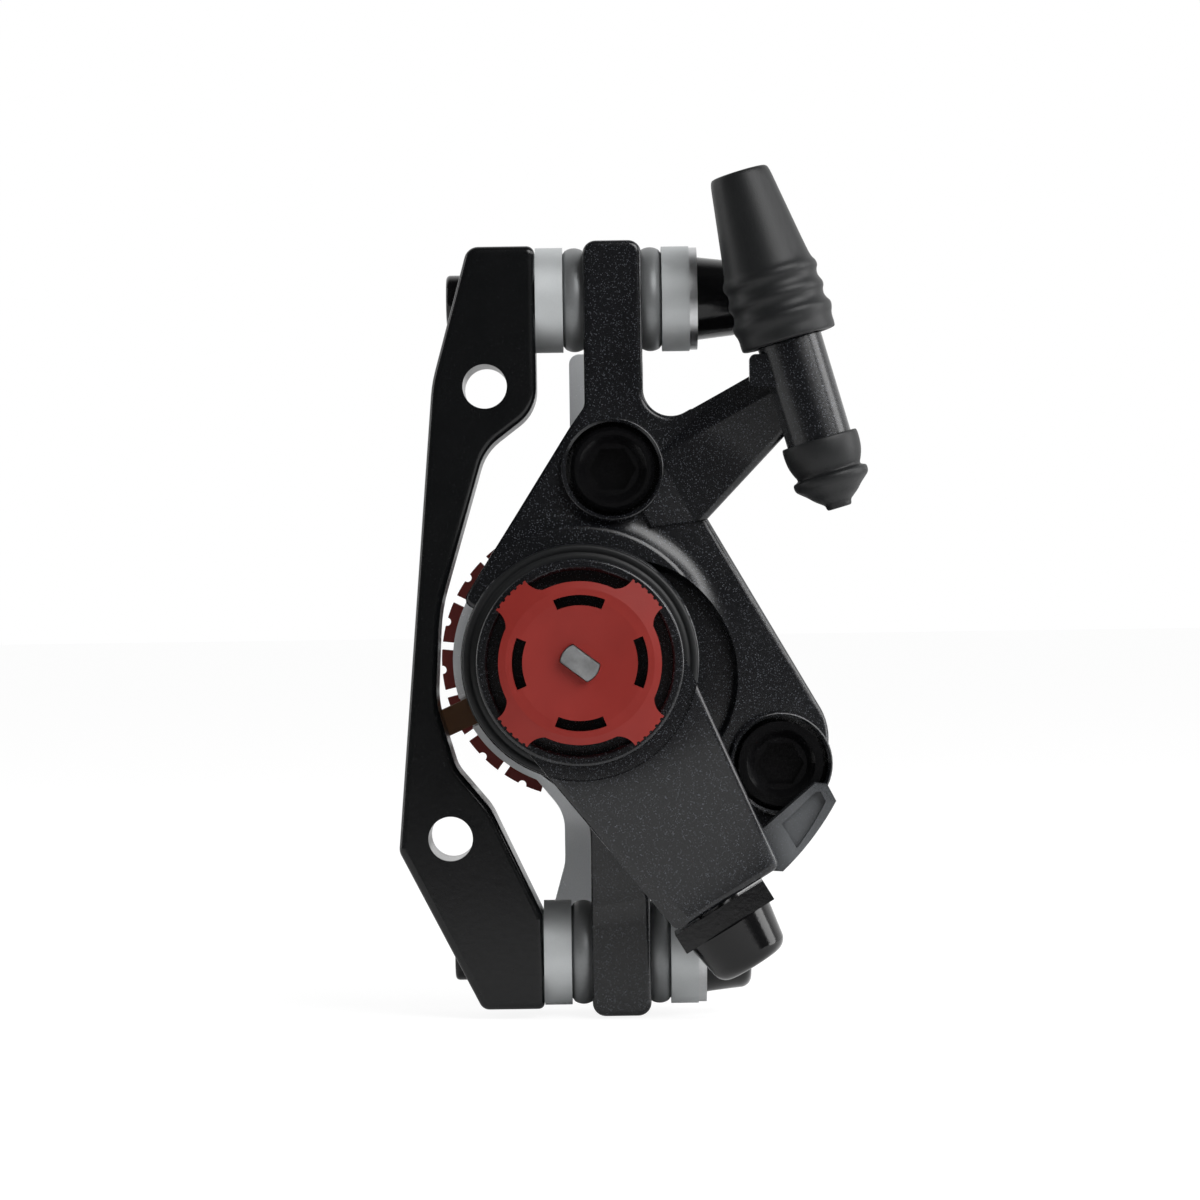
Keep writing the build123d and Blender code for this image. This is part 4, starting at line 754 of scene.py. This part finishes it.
def turned(name, profile, origin, axis, swell=None):
    """Carries a closed profile of (radius, height) round an axis."""
    side = INBOARD.cross(axis)
    side = side.normalized() if side.length > LEAST_SIDE else RIGHT
    front = axis.cross(side)
    mesh = bmesh.new()
    rings = []
    for step in range(TURN_STEPS):
        angle = math.tau * step / TURN_STEPS
        way = side * math.cos(angle) + front * math.sin(angle)
        ring = []
        for radius, height in profile:
            grown = radius + (swell(angle) if swell else 0)
            ring.append(mesh.verts.new(origin + way * grown + axis * height))
        rings.append(ring)
    for ring, other in zip(rings, rings[1:] + rings[:1]):
        for index in range(len(profile)):
            after = (index + 1) % len(profile)
            mesh.faces.new((ring[index], ring[after], other[after], other[index]))
    bmesh.ops.recalc_face_normals(mesh, faces=mesh.faces)
    data = bpy.data.meshes.new(name)
    mesh.to_mesh(data)
    mesh.free()
    data.shade_smooth()
    made = bpy.data.objects.new(name, data)
    scene.collection.objects.link(made)
    print(name, "faces:", len(data.polygons))
    return made


def stand_in(piece, body, slot_name, replaced):
    piece.data.materials.append(finishes[slot_name].material)
    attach(piece, body)
    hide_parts(replaced)


print("a turned piece has", TURN_STEPS, "steps round its axis")

# %% [markdown]
# ## The upper boot
# The boot keeps grit out of the barrel. It is a slim cone that hugs the cable
# housing at its top, with three soft rings and a skirt below that grip the
# barrel's head. A faint seam runs up both sides where the mould parted.

# %% Turn the upper boot
STOP = Vector((36.36 * MM, -6.0 * MM, 29.67 * MM))
STOP_TILT = math.radians(16)
STOP_UP = Vector((-math.sin(STOP_TILT), 0, math.cos(STOP_TILT)))
SEAM = 0.05 * MM
SEAM_SPREAD = 0.03

UPPER_BOOT = [
    # (radius, height above the stop) in mm
    (3.80, 0.12), (5.25, 0.10), (5.36, 0.60), (5.32, 1.70), (5.62, 2.45), (5.66, 3.05),
    (5.30, 3.55), (5.14, 4.05), (5.20, 4.60), (5.44, 5.00), (5.42, 5.50), (5.14, 6.05),
    (5.08, 6.50), (5.18, 6.95), (5.40, 7.30), (5.36, 7.85), (5.04, 8.35), (4.88, 8.90),
    (4.60, 10.6), (4.10, 14.0), (3.60, 17.4), (3.40, 18.8), (3.20, 19.45), (2.90, 19.6),
    (2.70, 19.45), (2.67, 18.6), (2.67, 12.9), (3.40, 12.55), (3.80, 12.25), (3.80, 9.0), (3.80, 4.0),
]


def mould_seam(angle):
    """A low ridge on the boot's left and right."""
    return SEAM * math.exp(-(math.sin(angle) / SEAM_SPREAD) ** 2)


upper_boot = turned("soft_upper_boot", rounded(UPPER_BOOT), STOP, STOP_UP, mould_seam)
stand_in(upper_boot, "boot", "rubber", "upper_boot")

# %% [markdown]
# ## The lower boot
# The inner cable leaves the sleeve through this small nose. A cup grips the
# sleeve, a waist and a flared ridge let it bend, and it ends in a thin nipple.

# %% Turn the lower boot
LOWER_BOOT = [
    # (radius, height above the stop) in mm
    (3.96, -11.40), (4.20, -11.36), (4.34, -11.60), (4.34, -12.60), (4.22, -13.60),
    (3.86, -14.60), (3.66, -14.95), (3.62, -15.22), (3.86, -15.38), (4.22, -15.50),
    (4.28, -15.95), (4.16, -16.40), (3.70, -16.80), (3.10, -17.30), (2.55, -17.90),
    (1.90, -18.40), (1.50, -18.70), (1.42, -19.20), (1.20, -19.32), (0.70, -19.30),
    (0.54, -19.10), (0.54, -17.0), (0.56, -13.60), (2.40, -13.52), (3.96, -13.50),
]
lower_boot = turned("soft_lower_boot", rounded(LOWER_BOOT), STOP, STOP_UP)
stand_in(lower_boot, "caliper", "rubber", "lower_boot")

# %% [markdown]
# ## The dust seal
# A ring of soft rubber fills the gap between the turning arm and the housing.
# Two shallow grooves make its lips, and its edges are round.

# %% Turn the dust seal
SEAL_STANDS_OUT = 3.9 * MM
SEAL_FRONT = HUB - INBOARD * SEAL_STANDS_OUT
DUST_SEAL = [
    # (radius, depth behind the seal's front) in mm
    (9.97, 0.10), (10.2, 0.02), (10.9, 0.02), (11.15, 0.22), (11.40, 0.04), (12.0, 0.02),
    (12.25, 0.24), (12.5, 0.05), (12.95, 0.06), (13.16, 0.28), (13.19, 0.80), (13.16, 1.35),
    (12.95, 1.57), (11.5, 1.58), (10.2, 1.57), (9.97, 1.40), (9.96, 0.75),
]
dust_seal = turned("soft_dust_seal", rounded(DUST_SEAL), SEAL_FRONT, INBOARD)
stand_in(dust_seal, "caliper", "rubber", "dust_seal")

# %% [markdown]
# ## The floor
# A wide pale floor lies under the caliper and behind it. To the camera it is
# nearly its own white light, and a small share is left as ordinary diffuse
# paint, so that the caliper's shadow stays on it. It ends a little way in front,
# so that the dark paint mirrors the dim room and not a white floor.

# %% Lay the floor
FLOOR_GAP = 0.3 * MM
FLOOR_HALF = 3.0
FLOOR_FRONT = 0.20
FLOOR_CELLS = 8

floor_mesh = bmesh.new()
bmesh.ops.create_grid(floor_mesh, x_segments=FLOOR_CELLS, y_segments=FLOOR_CELLS, size=FLOOR_HALF)
floor_data = bpy.data.meshes.new("studio_floor")
floor_mesh.to_mesh(floor_data)
floor_mesh.free()
floor = bpy.data.objects.new("studio_floor", floor_data)
floor.location = (0, FLOOR_HALF - FLOOR_FRONT, cad_low.z - FLOOR_GAP)
scene.collection.objects.link(floor)
floor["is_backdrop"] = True
print("floor at z in mm:", round(floor.location.z / MM, 2))

# %% [markdown]
# ## The floor's paint
# The share of its own light is chosen by the kind of ray, so only the camera
# sees the glow, and the caliper is lit by the paint alone.

# %% Paint the floor
FLOOR_ROUGH = 0.9
FLOOR_CLOUD = 0.4
FLOOR_DARK = (0.90, 0.90, 0.90, 1)
FLOOR_LIGHT = (0.93, 0.93, 0.93, 1)
GLOW_SHARE = 0.80
GLOW_STRENGTH = 1.12

floor_paint = Finish("floor paint", roughness=FLOOR_ROUGH)
floor_paint.wear(base_color=floor_paint.blend(floor_paint.cloud(FLOOR_CLOUD), FLOOR_DARK, FLOOR_LIGHT))
glow = floor_paint.node("ShaderNodeEmission", {}, {"Color": WHITE, "Strength": GLOW_STRENGTH})
eye = floor_paint.node("ShaderNodeLightPath", {}, {}, "Is Camera Ray")
lit = Wire(floor_paint, floor_paint.shader.outputs[0])
shown = floor_paint.node("ShaderNodeMixShader", {}, {0: eye * GLOW_SHARE, 1: lit, 2: glow})
floor_paint.feed(floor_paint.tree.nodes["Material Output"].inputs["Surface"], shown)
floor_data.materials.append(floor_paint.material)
print("the camera sees this share of glow:", GLOW_SHARE)

# %% [markdown]
# ## Compare the sizes
# How far the dressed caliper's box reaches past the drawn one's is printed for
# each side, high and low. The dressed caliper may not outgrow the drawn one.

# %% Compare the boxes
low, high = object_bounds()
grown_high = [round((dressed - drawn) / MM, 3) for dressed, drawn in zip(high, cad_high)]
grown_low = [round((drawn - dressed) / MM, 3) for dressed, drawn in zip(low, cad_low)]
print("grown by mm, high sides:", grown_high, "low sides:", grown_low)
